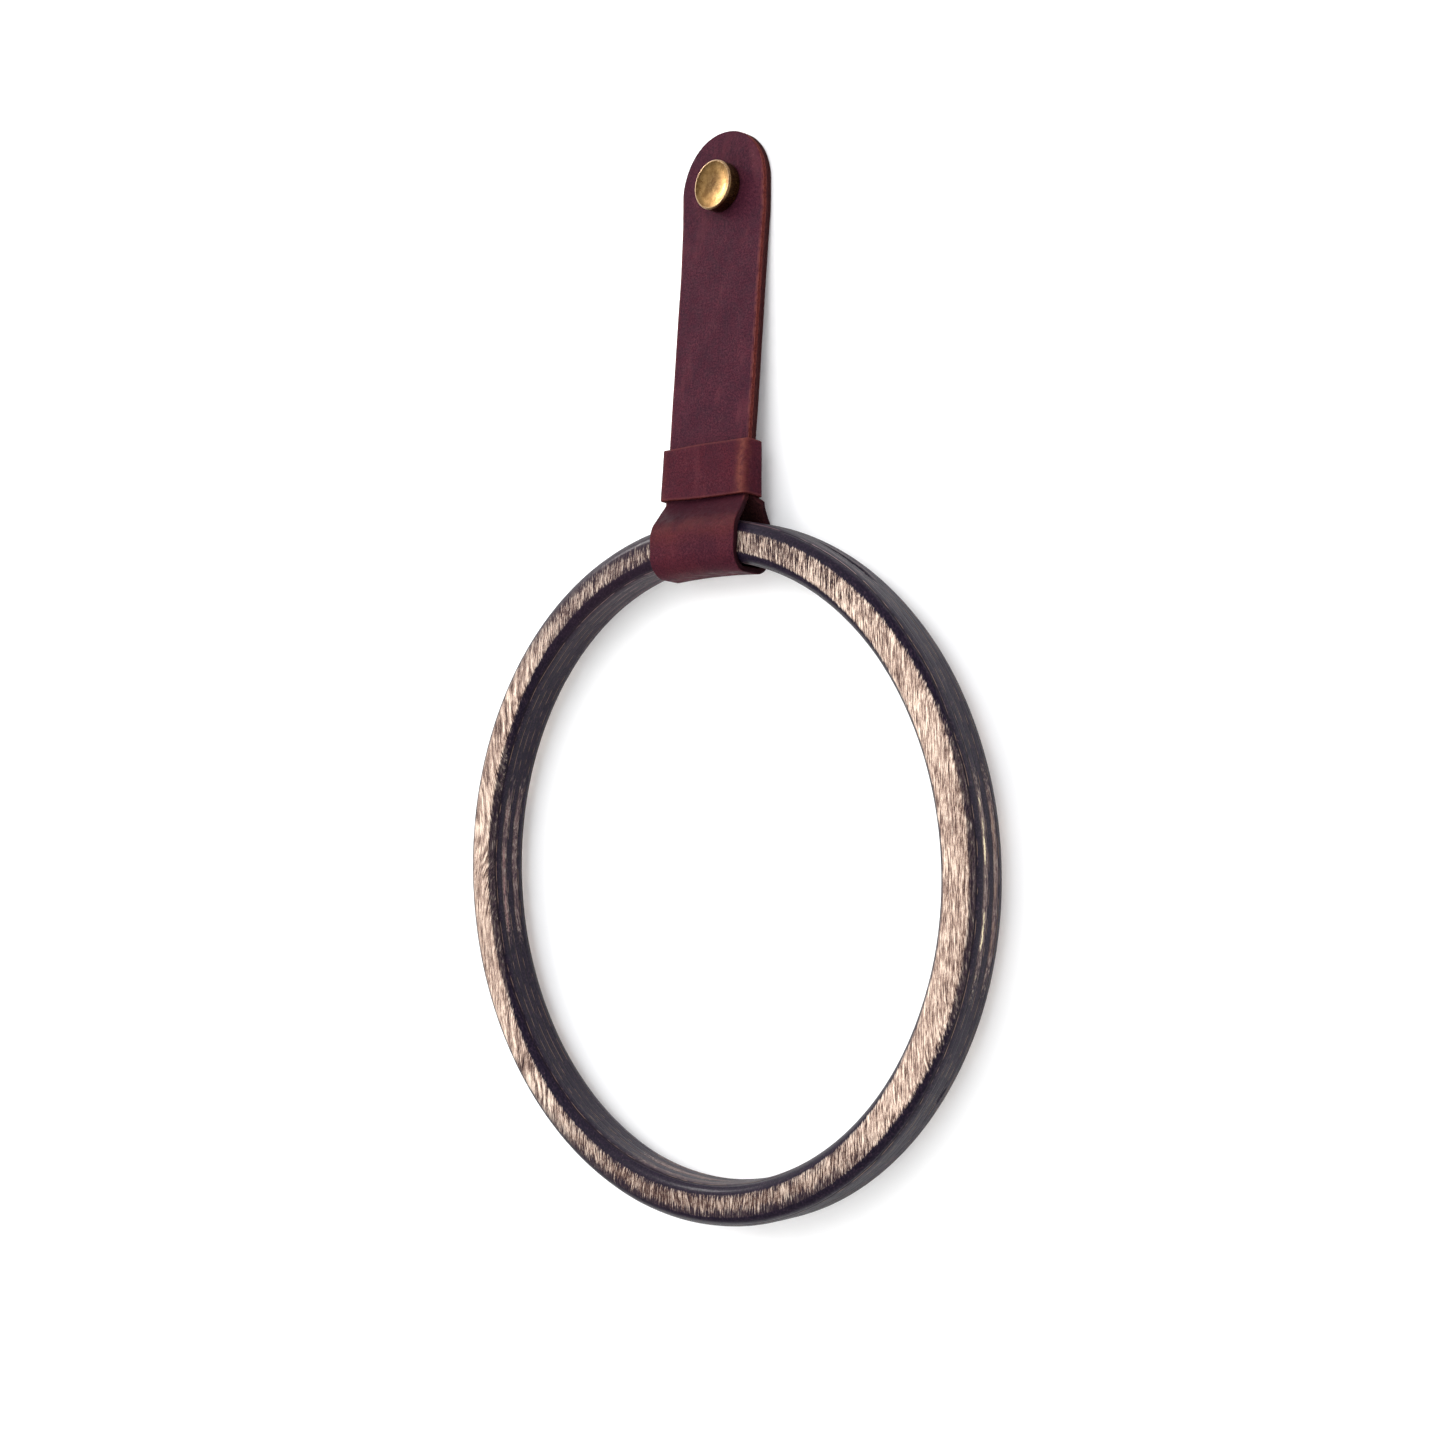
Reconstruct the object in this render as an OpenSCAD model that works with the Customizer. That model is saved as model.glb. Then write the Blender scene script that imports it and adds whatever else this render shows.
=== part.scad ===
// Wall-hung towel ring: a plywood ring held in the fold of a doubled leather strap.
// The strap hangs from one countersunk screw in a wall plug, hidden under a brass cap.
// A leather keeper band slides on the strap and closes the loop above the ring.
//
// Frame: origin on the wall surface at the screw axis, +Z up, +Y into the wall,
// the front of the object faces -Y. Millimetres.

/* [Ring] */
// Outside diameter of the ring
ring_diameter = 200; // [160:1:240]
// Width of the ring's section, measured along a radius
ring_width = 12; // [10:0.5:14]
// Depth of the ring, front face to back face (thickness of the plywood sheet)
ring_depth = 15; // [12:0.5:18]
// Radius of the rounded-over edges
ring_round = 4.2; // [2:0.1:4.8]

/* [Strap] */
// Width of the strap
strap_width = 32; // [26:1:38]
// Thickness of one layer of strap leather
layer_thick = 1.75; // [1.4:0.05:2]
// Air between the two layers of the strap
layer_gap = 0.1; // [0.05:0.05:0.3]
// Distance from the screw axis down to the top of the ring
drop = 100; // [85:1:130]
// Diameter of the punched screw holes
hole_diameter = 5; // [4.5:0.1:5.5]
// Distance below the screw axis where the strap bends to lean off the wall
lean_start = 9; // [8.5:0.5:12]

/* [Loop] */
// Thickness of the leather in the loop, a little compressed
loop_thick = 1.7; // [1.4:0.05:1.9]
// Air between the loop and the ring
ring_air = 0.3; // [0.25:0.05:0.5]
// Height of the flexing neck above the top of the ring
neck_rise = 3.2; // [3:0.1:4]

/* [Keeper] */
// Height of the keeper band
keeper_height = 16; // [12:1:20]
// Thickness of the keeper leather
keeper_thick = 1.25; // [1:0.05:1.4]
// Air between the keeper and the strap
keeper_air = 0.15; // [0.1:0.05:0.25]
// Height of the keeper's lower edge above the top of the ring
keeper_rise = 6; // [6:0.1:8]
// Number of stitches that close the keeper at the back
stitches = 3; // [2:1:4]

/* [Cap and fixing] */
// Diameter of the brass cap
cap_diameter = 14.5; // [14:0.1:16]
// Height of the cap above the leather
cap_height = 4.4; // [4.3:0.1:5]
// Depth of the dished face of the cap
dish_depth = 0.7; // [0.4:0.1:0.8]
// Thread diameter of the screw
screw_diameter = 3.8; // [3.4:0.1:4]
// Length of the screw, head included
screw_length = 40; // [35:1:50]
// Diameter of the wall plug, which is the size of the drilled hole
plug_diameter = 6; // [6:0.5:8]
// Length of the wall plug
plug_length = 30; // [28:1:32]

/* [Hidden] */
$fn = 96;

gap = 0.05;  // small working gap between pieces
over = 1;    // how far a cut runs past the solid

// ---- Shared shapes ----

// Points of an arc from angle start to angle end
function arc(centre, radius, start, end, steps) =
    [for (i = [0 : steps]) let (angle = start + (end - start) * i / steps)
        centre + radius * [cos(angle), sin(angle)]];

// Rounded rectangle, centred
function rounded(width, height, radius, steps) =
    let (x = width / 2 - radius, y = height / 2 - radius)
    concat(
        arc([x, y], radius, 0, 90, steps),
        arc([-x, y], radius, 90, 180, steps),
        arc([-x, -y], radius, 180, 270, steps),
        arc([x, -y], radius, 270, 360, steps));

// A profile drawn in (Y, Z) and extruded along X, centred on X = 0
module across(width) {
    rotate([90, 0, 90]) linear_extrude(height = width, center = true) children();
}

// A bar along Y between two y values
module bar_y(radius, y_from, y_to) {
    translate([0, y_from, 0]) rotate([-90, 0, 0]) cylinder(r = radius, h = y_to - y_from);
}

// A solid of revolution about the Y axis from [radius, y] points
module turned(points) {
    rotate([-90, 0, 0]) rotate_extrude($fn = 128) polygon(points);
}

// ---- Ring ----

ring_r = ring_diameter / 2;
ring_inner_r = ring_r - ring_width;
ring_top = -drop;
ring_back_air = 0.35;    // between the ring's back face and the loop
loop_back = -(gap + loop_thick);    // inner side of the loop, behind the ring
ring_mid = loop_back - ring_back_air - ring_depth / 2;

// Plywood ring, edges rounded over, axis along Y
module ring() {
    color("#5f463c")
        translate([0, ring_mid, ring_top - ring_r]) rotate([90, 0, 0])
            rotate_extrude($fn = 240)
                translate([ring_r - ring_width / 2, 0])
                    polygon(rounded(ring_width, ring_depth, ring_round, 9));
}

// ---- Strap ----

strap_thick = 2 * layer_thick + layer_gap;    // both layers together
neck = [ring_mid + 0.4, ring_top + neck_rise];    // [y, z], nearer the wall than the ring's middle
lean = (-strap_thick / 2 - neck[0]) / (-neck[1] - lean_start);    // slope, y over z
lean_angle = atan(lean);
bend_half = 1.6;         // half length of the soft bend where the lean starts
bend_top = -lean_start + bend_half;
bend_bottom = -lean_start - bend_half;
keeper_bottom = ring_top + keeper_rise;
strap_bottom = keeper_bottom - 0.1;

// Middle line of the doubled strap: y and slope as functions of z
function mid_y(z) = -strap_thick / 2 - lean * (
    z >= bend_top ? 0 :
    z <= bend_bottom ? -lean_start - z :
    pow(bend_top - z, 2) / (4 * bend_half));
function mid_slope(z) = lean * (
    z >= bend_top ? 0 :
    z <= bend_bottom ? 1 :
    (bend_top - z) / (2 * bend_half));

// [y, z] of a point at a distance from the middle line, positive towards the wall
function beside_mid(z, distance) =
    let (slope = mid_slope(z), norm = sqrt(1 + slope * slope))
    [mid_y(z) + distance / norm, z - distance * slope / norm];

// Heights at which the strap's outline is sampled
strap_heights = concat([0], [for (i = [0 : 8]) bend_top - i * bend_half / 4], [strap_bottom]);

// One layer between two offsets from the middle line, with a round top end
module layer(front, back) {
    last = len(strap_heights) - 1;
    difference() {
        union() {
            across(strap_width) polygon(concat(
                [for (z = strap_heights) beside_mid(z, front)],
                [for (i = [last : -1 : 0]) beside_mid(strap_heights[i], back)]));
            intersection() {
                bar_y(strap_width / 2, -strap_thick / 2 + front, -strap_thick / 2 + back);
                translate([-strap_width, -strap_thick - over, 0])
                    cube([2 * strap_width, strap_thick + 2 * over, strap_width]);
            }
        }
        bar_y(hole_diameter / 2, -strap_thick - 2 * over, 2 * over);
    }
}

// Upper part of the strap: the two ends of one strip, laid on each other
module strap() {
    color("#5a2f38") {
        layer(-strap_thick / 2, -layer_gap / 2);
        layer(layer_gap / 2, strap_thick / 2);
    }
}

// ---- Loop ----

// How much lower the ring's inner edge is at the strap's sides than at its middle
sag = ring_inner_r - sqrt(pow(ring_inner_r, 2) - pow(strap_width / 2, 2));
loop_r = ring_round + ring_air;    // inner radius of the loop's corners

// Corner centres of the loop
front_y = ring_mid - ring_depth / 2 + ring_round;
back_y = loop_back - loop_r;
upper_z = ring_top - ring_round;
lower_z = ring_top - ring_width - sag + ring_round - 0.03;

// Angle of a leg from straight down, so that its inner side just touches the corner circle
function leg_angle(corner_y) =
    let (run = abs(neck[0] - corner_y), fall = neck[1] - upper_z)
    atan2(run, fall) + asin(loop_r / sqrt(run * run + fall * fall));
front_leg = leg_angle(front_y);
back_leg = leg_angle(back_y);

// Loop outline at a distance outside its inner side
function loop_outline(distance) = let (radius = loop_r + distance) concat(
    arc([front_y, upper_z], radius, 180 - front_leg, 180, 8),
    arc([front_y, lower_z], radius, 180, 270, 10),
    arc([back_y, lower_z], radius, 270, 360, 10),
    arc([back_y, upper_z], radius, 0, back_leg, 8));

// The fold of the strap that carries the ring, hinged at the flexing neck
module strap_loop() {
    neck_arc = arc(neck, loop_thick - 0.1, back_leg, 180 - front_leg, 14);
    color("#63333a")
        difference() {
            union() {
                across(strap_width) polygon(concat(loop_outline(loop_thick), neck_arc));
                // round of the neck, on the axis the loop swings about
                translate([-strap_width / 2, neck[0], neck[1]]) rotate([0, 90, 0])
                    cylinder(r = loop_thick + 0.06, h = strap_width);
            }
            across(strap_width + 4 * over) polygon(concat(loop_outline(0), [neck]));
        }
}

// ---- Keeper ----

keeper_mid = keeper_bottom + keeper_height / 2 * cos(lean_angle);
inner_width = strap_width + 2 * keeper_air;
inner_depth = strap_thick + 2 * keeper_air;
outer_width = inner_width + 2 * keeper_thick;
outer_depth = inner_depth + 2 * keeper_thick;
outer_round = 1.6;
inner_round = 0.4;
seam_width = 0.2;
stitch_half = 2.2;       // from the seam to a stitch hole
thread_r = 0.35;
stitch_pitch = keeper_height / (stitches + 0.6);

// Places children at the keeper's middle, with z along the leaning strap
module at_keeper() {
    translate([0, mid_y(keeper_mid), keeper_mid]) rotate([-lean_angle, 0, 0]) children();
}

// Height of a stitch from the keeper's middle
function stitch_z(i) = (i - (stitches - 1) / 2) * stitch_pitch;

// Leather band round both layers, butted and stitched at the back
module keeper() {
    cut_bottom = -keeper_height / 2 - over;
    cut_height = keeper_height + 2 * over;
    color("#6a363a")
        at_keeper()
            difference() {
                translate([0, 0, -keeper_height / 2]) linear_extrude(height = keeper_height)
                    polygon(rounded(outer_width, outer_depth, outer_round, 8));
                translate([0, 0, cut_bottom]) linear_extrude(height = cut_height)
                    polygon(rounded(inner_width, inner_depth, inner_round, 4));
                // butt seam
                translate([-seam_width / 2, inner_depth / 2 - over / 2, cut_bottom])
                    cube([seam_width, keeper_thick + over, cut_height]);
                // stitch holes
                for (i = [0 : stitches - 1], side = [-1, 1])
                    translate([side * stitch_half, 0, stitch_z(i)])
                        bar_y(thread_r + gap, inner_depth / 2 - over / 2, outer_depth / 2 + over);
            }
}

// Waxed thread: one bar across the seam per stitch, its ends through the leather
module keeper_thread() {
    thread_y = outer_depth / 2 + thread_r + gap;
    color("#3c2226")
        at_keeper()
            for (i = [0 : stitches - 1]) translate([0, 0, stitch_z(i)]) {
                translate([-stitch_half - thread_r, thread_y, 0]) rotate([0, 90, 0])
                    cylinder(r = thread_r, h = 2 * (stitch_half + thread_r), $fn = 32);
                for (side = [-1, 1]) translate([side * stitch_half, 0, 0])
                    bar_y(thread_r - 0.02, inner_depth / 2 + 0.02, thread_y);
            }
}

// ---- Cap and seat ----

cap_r = cap_diameter / 2;
cap_inner_r = cap_r - 0.9;
cap_back = -strap_thick - 0.1;
cap_front = -strap_thick - cap_height;
rim_round = 0.45;
dish_r = cap_r - rim_round;    // radius of the dish's edge
dish_sphere_r = (dish_r * dish_r + dish_depth * dish_depth) / (2 * dish_depth);

seat_r = cap_inner_r - gap;
seat_back = -strap_thick - gap;
seat_front = seat_back - 3;
head_front = seat_front + 0.15;
head_r = 4;
shank_r = 1.5;

// Dished brass cap, open at the back, fits over the seat
module cap() {
    back_bevel = 0.2;
    inner_front = seat_front - 0.2;
    dish_centre = cap_front + dish_depth - dish_sphere_r;
    color("#a8823f")
        turned(concat(
            [for (i = [0 : 12]) let (x = dish_r * i / 12)
                [x, dish_centre + sqrt(dish_sphere_r * dish_sphere_r - x * x)]],
            arc([dish_r, cap_front + rim_round], rim_round, -90, 0, 8),
            [[cap_r, cap_back - back_bevel], [cap_r - back_bevel, cap_back],
             [cap_inner_r, cap_back], [cap_inner_r, inner_front], [0, inner_front]]));
}

// Seat under the cap: countersunk for the screw head
module cap_seat() {
    bore_r = shank_r + 0.6;
    sink_r = head_r + 0.12;
    sink_y = head_front + 0.2;    // where the 45 degree cone starts
    back_bevel = 0.3;
    front_bevel = 0.4;
    color("#b08c4a")
        turned([
            [bore_r, seat_back],
            [seat_r - back_bevel, seat_back], [seat_r, seat_back - back_bevel],
            [seat_r, seat_front + front_bevel], [seat_r - front_bevel, seat_front],
            [sink_r, seat_front], [sink_r, sink_y],
            [bore_r, sink_y + sink_r - bore_r]]);
}

// ---- Screw and plug ----

plug_mouth = 2.5;        // depth of the plug's mouth below the wall surface

// Countersunk screw with a cross recess and ring-shaped thread crests
module screw() {
    pitch = 1.6;
    thread_r = screw_diameter / 2;
    core_r = thread_r - 0.5;
    thread_start = plug_mouth + 1;
    tip = head_front + screw_length;
    turns = floor((tip - 4 - thread_start) / pitch);
    // one crest: [radius, y from the start of its turn]
    crest = [[core_r, 0.25], [thread_r, 0.62], [thread_r, 0.72], [core_r, 1.1]];
    head_bevel = 0.1;
    cone_y = head_front + 0.25;
    recess_length = 4.4;
    recess_width = 0.9;
    recess_depth = 1.6;
    color("#c9b071")
        difference() {
            turned(concat(
                [[0, head_front], [head_r - head_bevel, head_front],
                 [head_r, head_front + head_bevel], [head_r, cone_y],
                 [shank_r, cone_y + head_r - shank_r],
                 [shank_r, thread_start - 0.5], [core_r, thread_start]],
                [for (i = [0 : turns - 1], point = crest)
                    [point[0], thread_start + i * pitch + point[1]]],
                [[core_r, tip - 3.5], [0, tip]]));
            for (angle = [0, 90]) rotate([0, angle, 0])
                translate([-recess_length / 2, head_front - over, -recess_width / 2])
                    cube([recess_length, recess_depth + over, recess_width]);
        }
}

// Nylon plug, pushed in until its mouth is below the wall surface
module wall_plug() {
    plug_r = plug_diameter / 2;
    bore_r = screw_diameter / 2 + gap;
    plug_end = plug_mouth + plug_length;
    mouth_bevel = 0.3;
    end_bevel = 0.8;
    color("#b9b7b0")
        turned([
            [bore_r, plug_mouth],
            [plug_r - mouth_bevel, plug_mouth], [plug_r, plug_mouth + mouth_bevel],
            [plug_r, plug_end - end_bevel], [plug_r - end_bevel, plug_end],
            [bore_r, plug_end]]);
}

ring();
strap();
strap_loop();
keeper();
keeper_thread();
cap();
cap_seat();
screw();
wall_plug();
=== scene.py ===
"""Looks of the wall towel ring: lacquered plywood ring, doubled leather strap, keeper band, brass cap, fixing."""

import math

import bmesh
import bpy
import numpy as np
from mathutils import Matrix, Vector


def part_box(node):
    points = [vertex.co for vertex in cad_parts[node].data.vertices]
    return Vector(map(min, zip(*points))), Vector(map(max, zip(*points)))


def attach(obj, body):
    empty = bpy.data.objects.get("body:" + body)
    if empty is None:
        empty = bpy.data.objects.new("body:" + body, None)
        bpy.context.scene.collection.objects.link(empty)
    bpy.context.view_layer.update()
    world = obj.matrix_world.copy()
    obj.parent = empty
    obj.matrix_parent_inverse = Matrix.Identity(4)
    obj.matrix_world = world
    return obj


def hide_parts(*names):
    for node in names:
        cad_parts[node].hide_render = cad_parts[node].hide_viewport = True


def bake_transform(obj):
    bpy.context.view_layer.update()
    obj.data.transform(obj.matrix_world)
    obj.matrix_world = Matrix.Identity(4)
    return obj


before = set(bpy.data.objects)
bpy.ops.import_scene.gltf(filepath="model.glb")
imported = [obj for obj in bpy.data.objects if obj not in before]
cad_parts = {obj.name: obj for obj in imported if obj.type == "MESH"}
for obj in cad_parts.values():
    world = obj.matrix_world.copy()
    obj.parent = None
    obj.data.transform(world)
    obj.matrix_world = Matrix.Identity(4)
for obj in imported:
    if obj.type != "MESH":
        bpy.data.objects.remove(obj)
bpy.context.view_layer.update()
MM = 0.001

# ---------------------------------------------------------------- numbers from the frame, millimetres
r_lo, r_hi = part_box("ring")
RING_R = (r_hi.x - r_lo.x) / 2 / MM
RING_Z = (r_hi.z + r_lo.z) / 2 / MM
RING_Y0, RING_Y1 = r_lo.y / MM, r_hi.y / MM          # front and back face
RING_W = 12.0
RING_ROUND = 4.2
RING_TOP = RING_Z + RING_R
c_lo, c_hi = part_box("cap")
CAP_R = (c_hi.x - c_lo.x) / 2 / MM
CAP_Y0, CAP_Y1 = c_lo.y / MM, c_hi.y / MM
s_lo, s_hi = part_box("strap")
STRAP_W = (s_hi.x - s_lo.x) / MM
LEAF, GAP = 1.75, 0.1
STRAP_T = 2 * LEAF + GAP
NECK_Y, NECK_Z = -9.2, RING_TOP + 3.2
LEAN = (-STRAP_T / 2 - NECK_Y) / (-NECK_Z - 9.0)
HOLE_R = 2.5


# ---------------------------------------------------------------- small numeric helpers
def smooth(x, a, b):
    t = np.clip((np.asarray(x, float) - a) / (b - a), 0, 1)
    return t * t * (3 - 2 * t)


def _hash(i, j, k):
    n = (i * 73856093) ^ (j * 19349663) ^ (k * 83492791)
    n = ((n ^ (n >> 13)) * 1274126177) & 0xFFFFFFFF
    n = ((n ^ (n >> 15)) * 668265263) & 0xFFFFFFFF
    return ((n ^ (n >> 16)) & 0xFFFFFF) / float(0xFFFFFF)


def vnoise(x, y, z=0.0, seed=0):
    """Smooth value noise, -1 to 1, of numpy coordinates."""
    x, y, z = np.broadcast_arrays(np.asarray(x, float) + 101.3 + seed * 17.17, np.asarray(y, float) + 57.9, np.asarray(z, float) + 11.1)
    i, j, k = (np.floor(a).astype(np.int64) for a in (x, y, z))
    u, v, w = x - i, y - j, z - k
    u, v, w = (t * t * (3 - 2 * t) for t in (u, v, w))
    total = 0
    for a in (0, 1):
        for b in (0, 1):
            for c in (0, 1):
                total = total + _hash(i + a, j + b, k + c) * (u if a else 1 - u) * (v if b else 1 - v) * (w if c else 1 - w)
    return total * 2 - 1


def build(name, verts, faces, smooth_shade=True, attrs=None):
    """Mesh object from millimetre vertices; closed meshes get outward normals."""
    me = bpy.data.meshes.new(name)
    me.from_pydata((np.asarray(verts, float) * MM).tolist(), [], [tuple(int(i) for i in f) for f in faces])
    for key, val in (attrs or {}).items():
        val = np.asarray(val, np.float32)
        kind = "FLOAT_VECTOR" if val.ndim == 2 else "FLOAT"
        a = me.attributes.new(key, kind, "POINT")
        a.data.foreach_set("vector" if val.ndim == 2 else "value", val.ravel())
    bm = bmesh.new()
    bm.from_mesh(me)
    bmesh.ops.recalc_face_normals(bm, faces=bm.faces)
    bm.to_mesh(me)
    bm.free()
    me.polygons.foreach_set("use_smooth", [smooth_shade] * len(me.polygons))
    me.update()
    ob = bpy.data.objects.new(name, me)
    bpy.context.scene.collection.objects.link(ob)
    return ob


def turned(name, R, Y, closed, attrs=None, centre=(0.0, 0.0)):
    """Surface round an axis along Y. R and Y are (m, n): m points of the profile, n steps round. Open profiles end on the axis."""
    R, Y = np.asarray(R, float), np.asarray(Y, float)
    m, n = R.shape
    phi = np.linspace(0, 2 * np.pi, n, endpoint=False)
    V = np.stack([R * np.cos(phi) + centre[0], Y, R * np.sin(phi) + centre[1]], -1)
    faces = []
    if closed:
        verts = V.reshape(-1, 3)
        for i in range(m):
            a, b = i * n, ((i + 1) % m) * n
            for j in range(n):
                k = (j + 1) % n
                faces.append((a + j, b + j, b + k, a + k))
    else:
        verts = np.concatenate([V[0, :1], V[1:-1].reshape(-1, 3), V[-1, :1]])
        for j in range(n):
            k = (j + 1) % n
            faces.append((0, 1 + j, 1 + k))
            last = 1 + (m - 3) * n
            faces.append((len(verts) - 1, last + k, last + j))
        for i in range(m - 3):
            a, b = 1 + i * n, 1 + (i + 1) * n
            for j in range(n):
                k = (j + 1) % n
                faces.append((a + j, b + j, b + k, a + k))
    return build(name, verts, faces, attrs=attrs)


def dense(points, step):
    """Resamples a polyline to about one point per step, keeping its corners."""
    out = []
    for (a, b) in zip(points[:-1], points[1:]):
        a, b = np.array(a, float), np.array(b, float)
        n = max(1, int(math.ceil(np.linalg.norm(b - a) / step)))
        out += [a + (b - a) * i / n for i in range(n)]
    return np.array(out + [np.array(points[-1], float)])


def arc_pts(cx, cy, r, a0, a1, n):
    return [(cx + r * math.cos(math.radians(a0 + (a1 - a0) * i / n)), cy + r * math.sin(math.radians(a0 + (a1 - a0) * i / n))) for i in range(n + 1)]


# ---------------------------------------------------------------- plywood ring
PLIES = 7
PLY = (RING_Y1 - RING_Y0) / PLIES


def ring_section(step=0.3):
    w, d, r = RING_W, RING_Y1 - RING_Y0, RING_ROUND
    pts = (arc_pts(w / 2 - r, d / 2 - r, r, 0, 90, 24) + arc_pts(-w / 2 + r, d / 2 - r, r, 90, 180, 24)
           + arc_pts(-w / 2 + r, -d / 2 + r, r, 180, 270, 24) + arc_pts(w / 2 - r, -d / 2 + r, r, 270, 360, 24))
    p = np.array(pts + [pts[0]])
    s = np.concatenate([[0], np.cumsum(np.linalg.norm(np.diff(p, axis=0), axis=1))])
    n = int(s[-1] / step)
    q = np.linspace(0, s[-1], n, endpoint=False)
    return np.stack([np.interp(q, s, p[:, 0]), np.interp(q, s, p[:, 1])], -1)


def make_ring():
    sec = ring_section()
    nxt, prv = np.roll(sec, -1, 0), np.roll(sec, 1, 0)
    tan = nxt - prv
    nor = np.stack([tan[:, 1], -tan[:, 0]], -1)
    nor /= np.linalg.norm(nor, axis=1)[:, None]
    n = 960
    phi = np.linspace(0, 2 * np.pi, n, endpoint=False)
    rho0 = RING_R - RING_W / 2 + sec[:, :1]
    y0 = (RING_Y0 + RING_Y1) / 2 + sec[:, 1:]
    X, Z = rho0 * np.cos(phi), rho0 * np.sin(phi)
    Yb = np.broadcast_to(y0, X.shape)
    wob = 0.22 * vnoise(X / 22, Z / 22, Yb / 40, 3)
    t = (Yb + wob - RING_Y0) / PLY
    near = np.abs(t - np.round(t)) * PLY
    inside = (t > 0.35) & (t < PLIES - 0.35)
    groove = np.exp(-((near / 0.2) ** 2)) * inside
    broken = smooth(vnoise(X / 5, Z / 5, Yb / 5, 5), -0.6, 0.5)
    ply = np.clip(np.floor(t), 0, PLIES - 1)
    along_x = (ply % 2) == 1
    NX, NZ = nor[:, :1] * np.cos(phi), nor[:, :1] * np.sin(phi)
    end = np.where(along_x, np.abs(NX), np.abs(NZ))
    disp = -0.07 * groove * (0.35 + 0.65 * broken)
    disp = disp - 0.035 * smooth(end, 0.5, 0.95)
    disp = disp + 0.05 * vnoise(X / 17, Z / 17, Yb / 17, 1) + 0.012 * vnoise(X / 1.3, Z / 1.3, Yb / 1.3, 2)
    # small open voids in the edge of the sheet, where a core veneer has a gap
    for ang, yv, la, ly, depth in ((57.8, VOID_Y, 9.5, 0.42, 1.1), (54.0, VOID_Y + 0.25, 2.6, 0.5, 0.6), (-34.0, RING_Y0 + 4.4 * PLY, 2.4, 0.3, 0.35), (171.0, RING_Y0 + 2.6 * PLY, 2.0, 0.3, 0.3)):
        outer = nor[:, :1] > 0.5
        da = (phi - math.radians(ang) + np.pi) % (2 * np.pi) - np.pi
        along = da * RING_R
        across_ = Yb - yv - 0.18 * np.sin(along * 0.9)
        disp = disp - depth * np.exp(-((np.abs(along) / la) ** 4)) * np.exp(-((np.abs(across_) / ly) ** 4)) * outer
    rho = rho0 + nor[:, :1] * disp
    y = y0 + nor[:, 1:] * disp
    return turned("ring_ply", rho, y, True, centre=(0.0, RING_Z))


VOID_Y = RING_Y0 + 3.5 * PLY
ring_ob = make_ring()


# ---------------------------------------------------------------- leather
def strap_mid(z):
    s, b = 9.0, 1.6
    if z >= -s + b:
        return -STRAP_T / 2, 0.0
    if z <= -s - b:
        return -STRAP_T / 2 - LEAN * (-s - z), LEAN
    return -STRAP_T / 2 - LEAN * (-s + b - z) ** 2 / (4 * b), LEAN * (-s + b - z) / (2 * b)


def off(z, d):
    y, s = strap_mid(z)
    n = math.sqrt(1 + s * s)
    return (y + d / n, z - d * s / n)


def bezier(p0, p1, p2, p3, n):
    out = []
    for i in range(1, n + 1):
        t = i / n
        out.append(tuple((1 - t) ** 3 * np.array(p0) + 3 * (1 - t) ** 2 * t * np.array(p1) + 3 * (1 - t) * t * t * np.array(p2) + t ** 3 * np.array(p3)))
    return out


def strap_path():
    """Middle of the leather in (y, z), from the front top end, round the ring, to the back top end."""
    h = (LEAF + GAP) / 2
    rm = RING_ROUND + 0.27 + LEAF / 2
    cf1 = (RING_Y0 + RING_ROUND, RING_TOP - RING_ROUND)
    cb1 = (RING_Y1 - RING_ROUND + 0.05, RING_TOP - RING_ROUND)
    sag = (RING_R - RING_W) - math.sqrt((RING_R - RING_W) ** 2 - 256)
    low = RING_TOP - RING_W - sag + RING_ROUND - 0.03
    zk = RING_TOP + 6.4
    front = [off(z, -h) for z in np.linspace(16, zk, 420)]
    back = [off(z, h) for z in np.linspace(zk, 16, 420)]
    a1, a2 = 138, 42
    d = math.hypot(1, LEAN)
    p3 = (cf1[0] + rm * math.cos(math.radians(a1)), cf1[1] + rm * math.sin(math.radians(a1)))
    t3 = (-math.sin(math.radians(a1)), math.cos(math.radians(a1)))
    path = list(front)
    p0 = front[-1]
    path += bezier(p0, (p0[0] - 1.5 * LEAN / d, p0[1] - 1.5 / d), (p3[0] - 1.7 * t3[0], p3[1] - 1.7 * t3[1]), p3, 40)
    path += arc_pts(cf1[0], cf1[1], rm, a1, 180, 24)[1:]
    path += arc_pts(cf1[0], low, rm, 180, 270, 40)
    path += arc_pts(cb1[0], low, rm, 270, 360, 40)
    path += arc_pts(cb1[0], cb1[1], rm, 0, a2, 24)
    p0, p3 = path[-1], back[0]
    t0 = (-math.sin(math.radians(a2)), math.cos(math.radians(a2)))
    path += bezier(p0, (p0[0] + 1.7 * t0[0], p0[1] + 1.7 * t0[1]), (p3[0] - 1.5 * LEAN / d, p3[1] - 1.5 / d), p3, 40)
    path += back[1:]
    return np.array(path)


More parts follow.
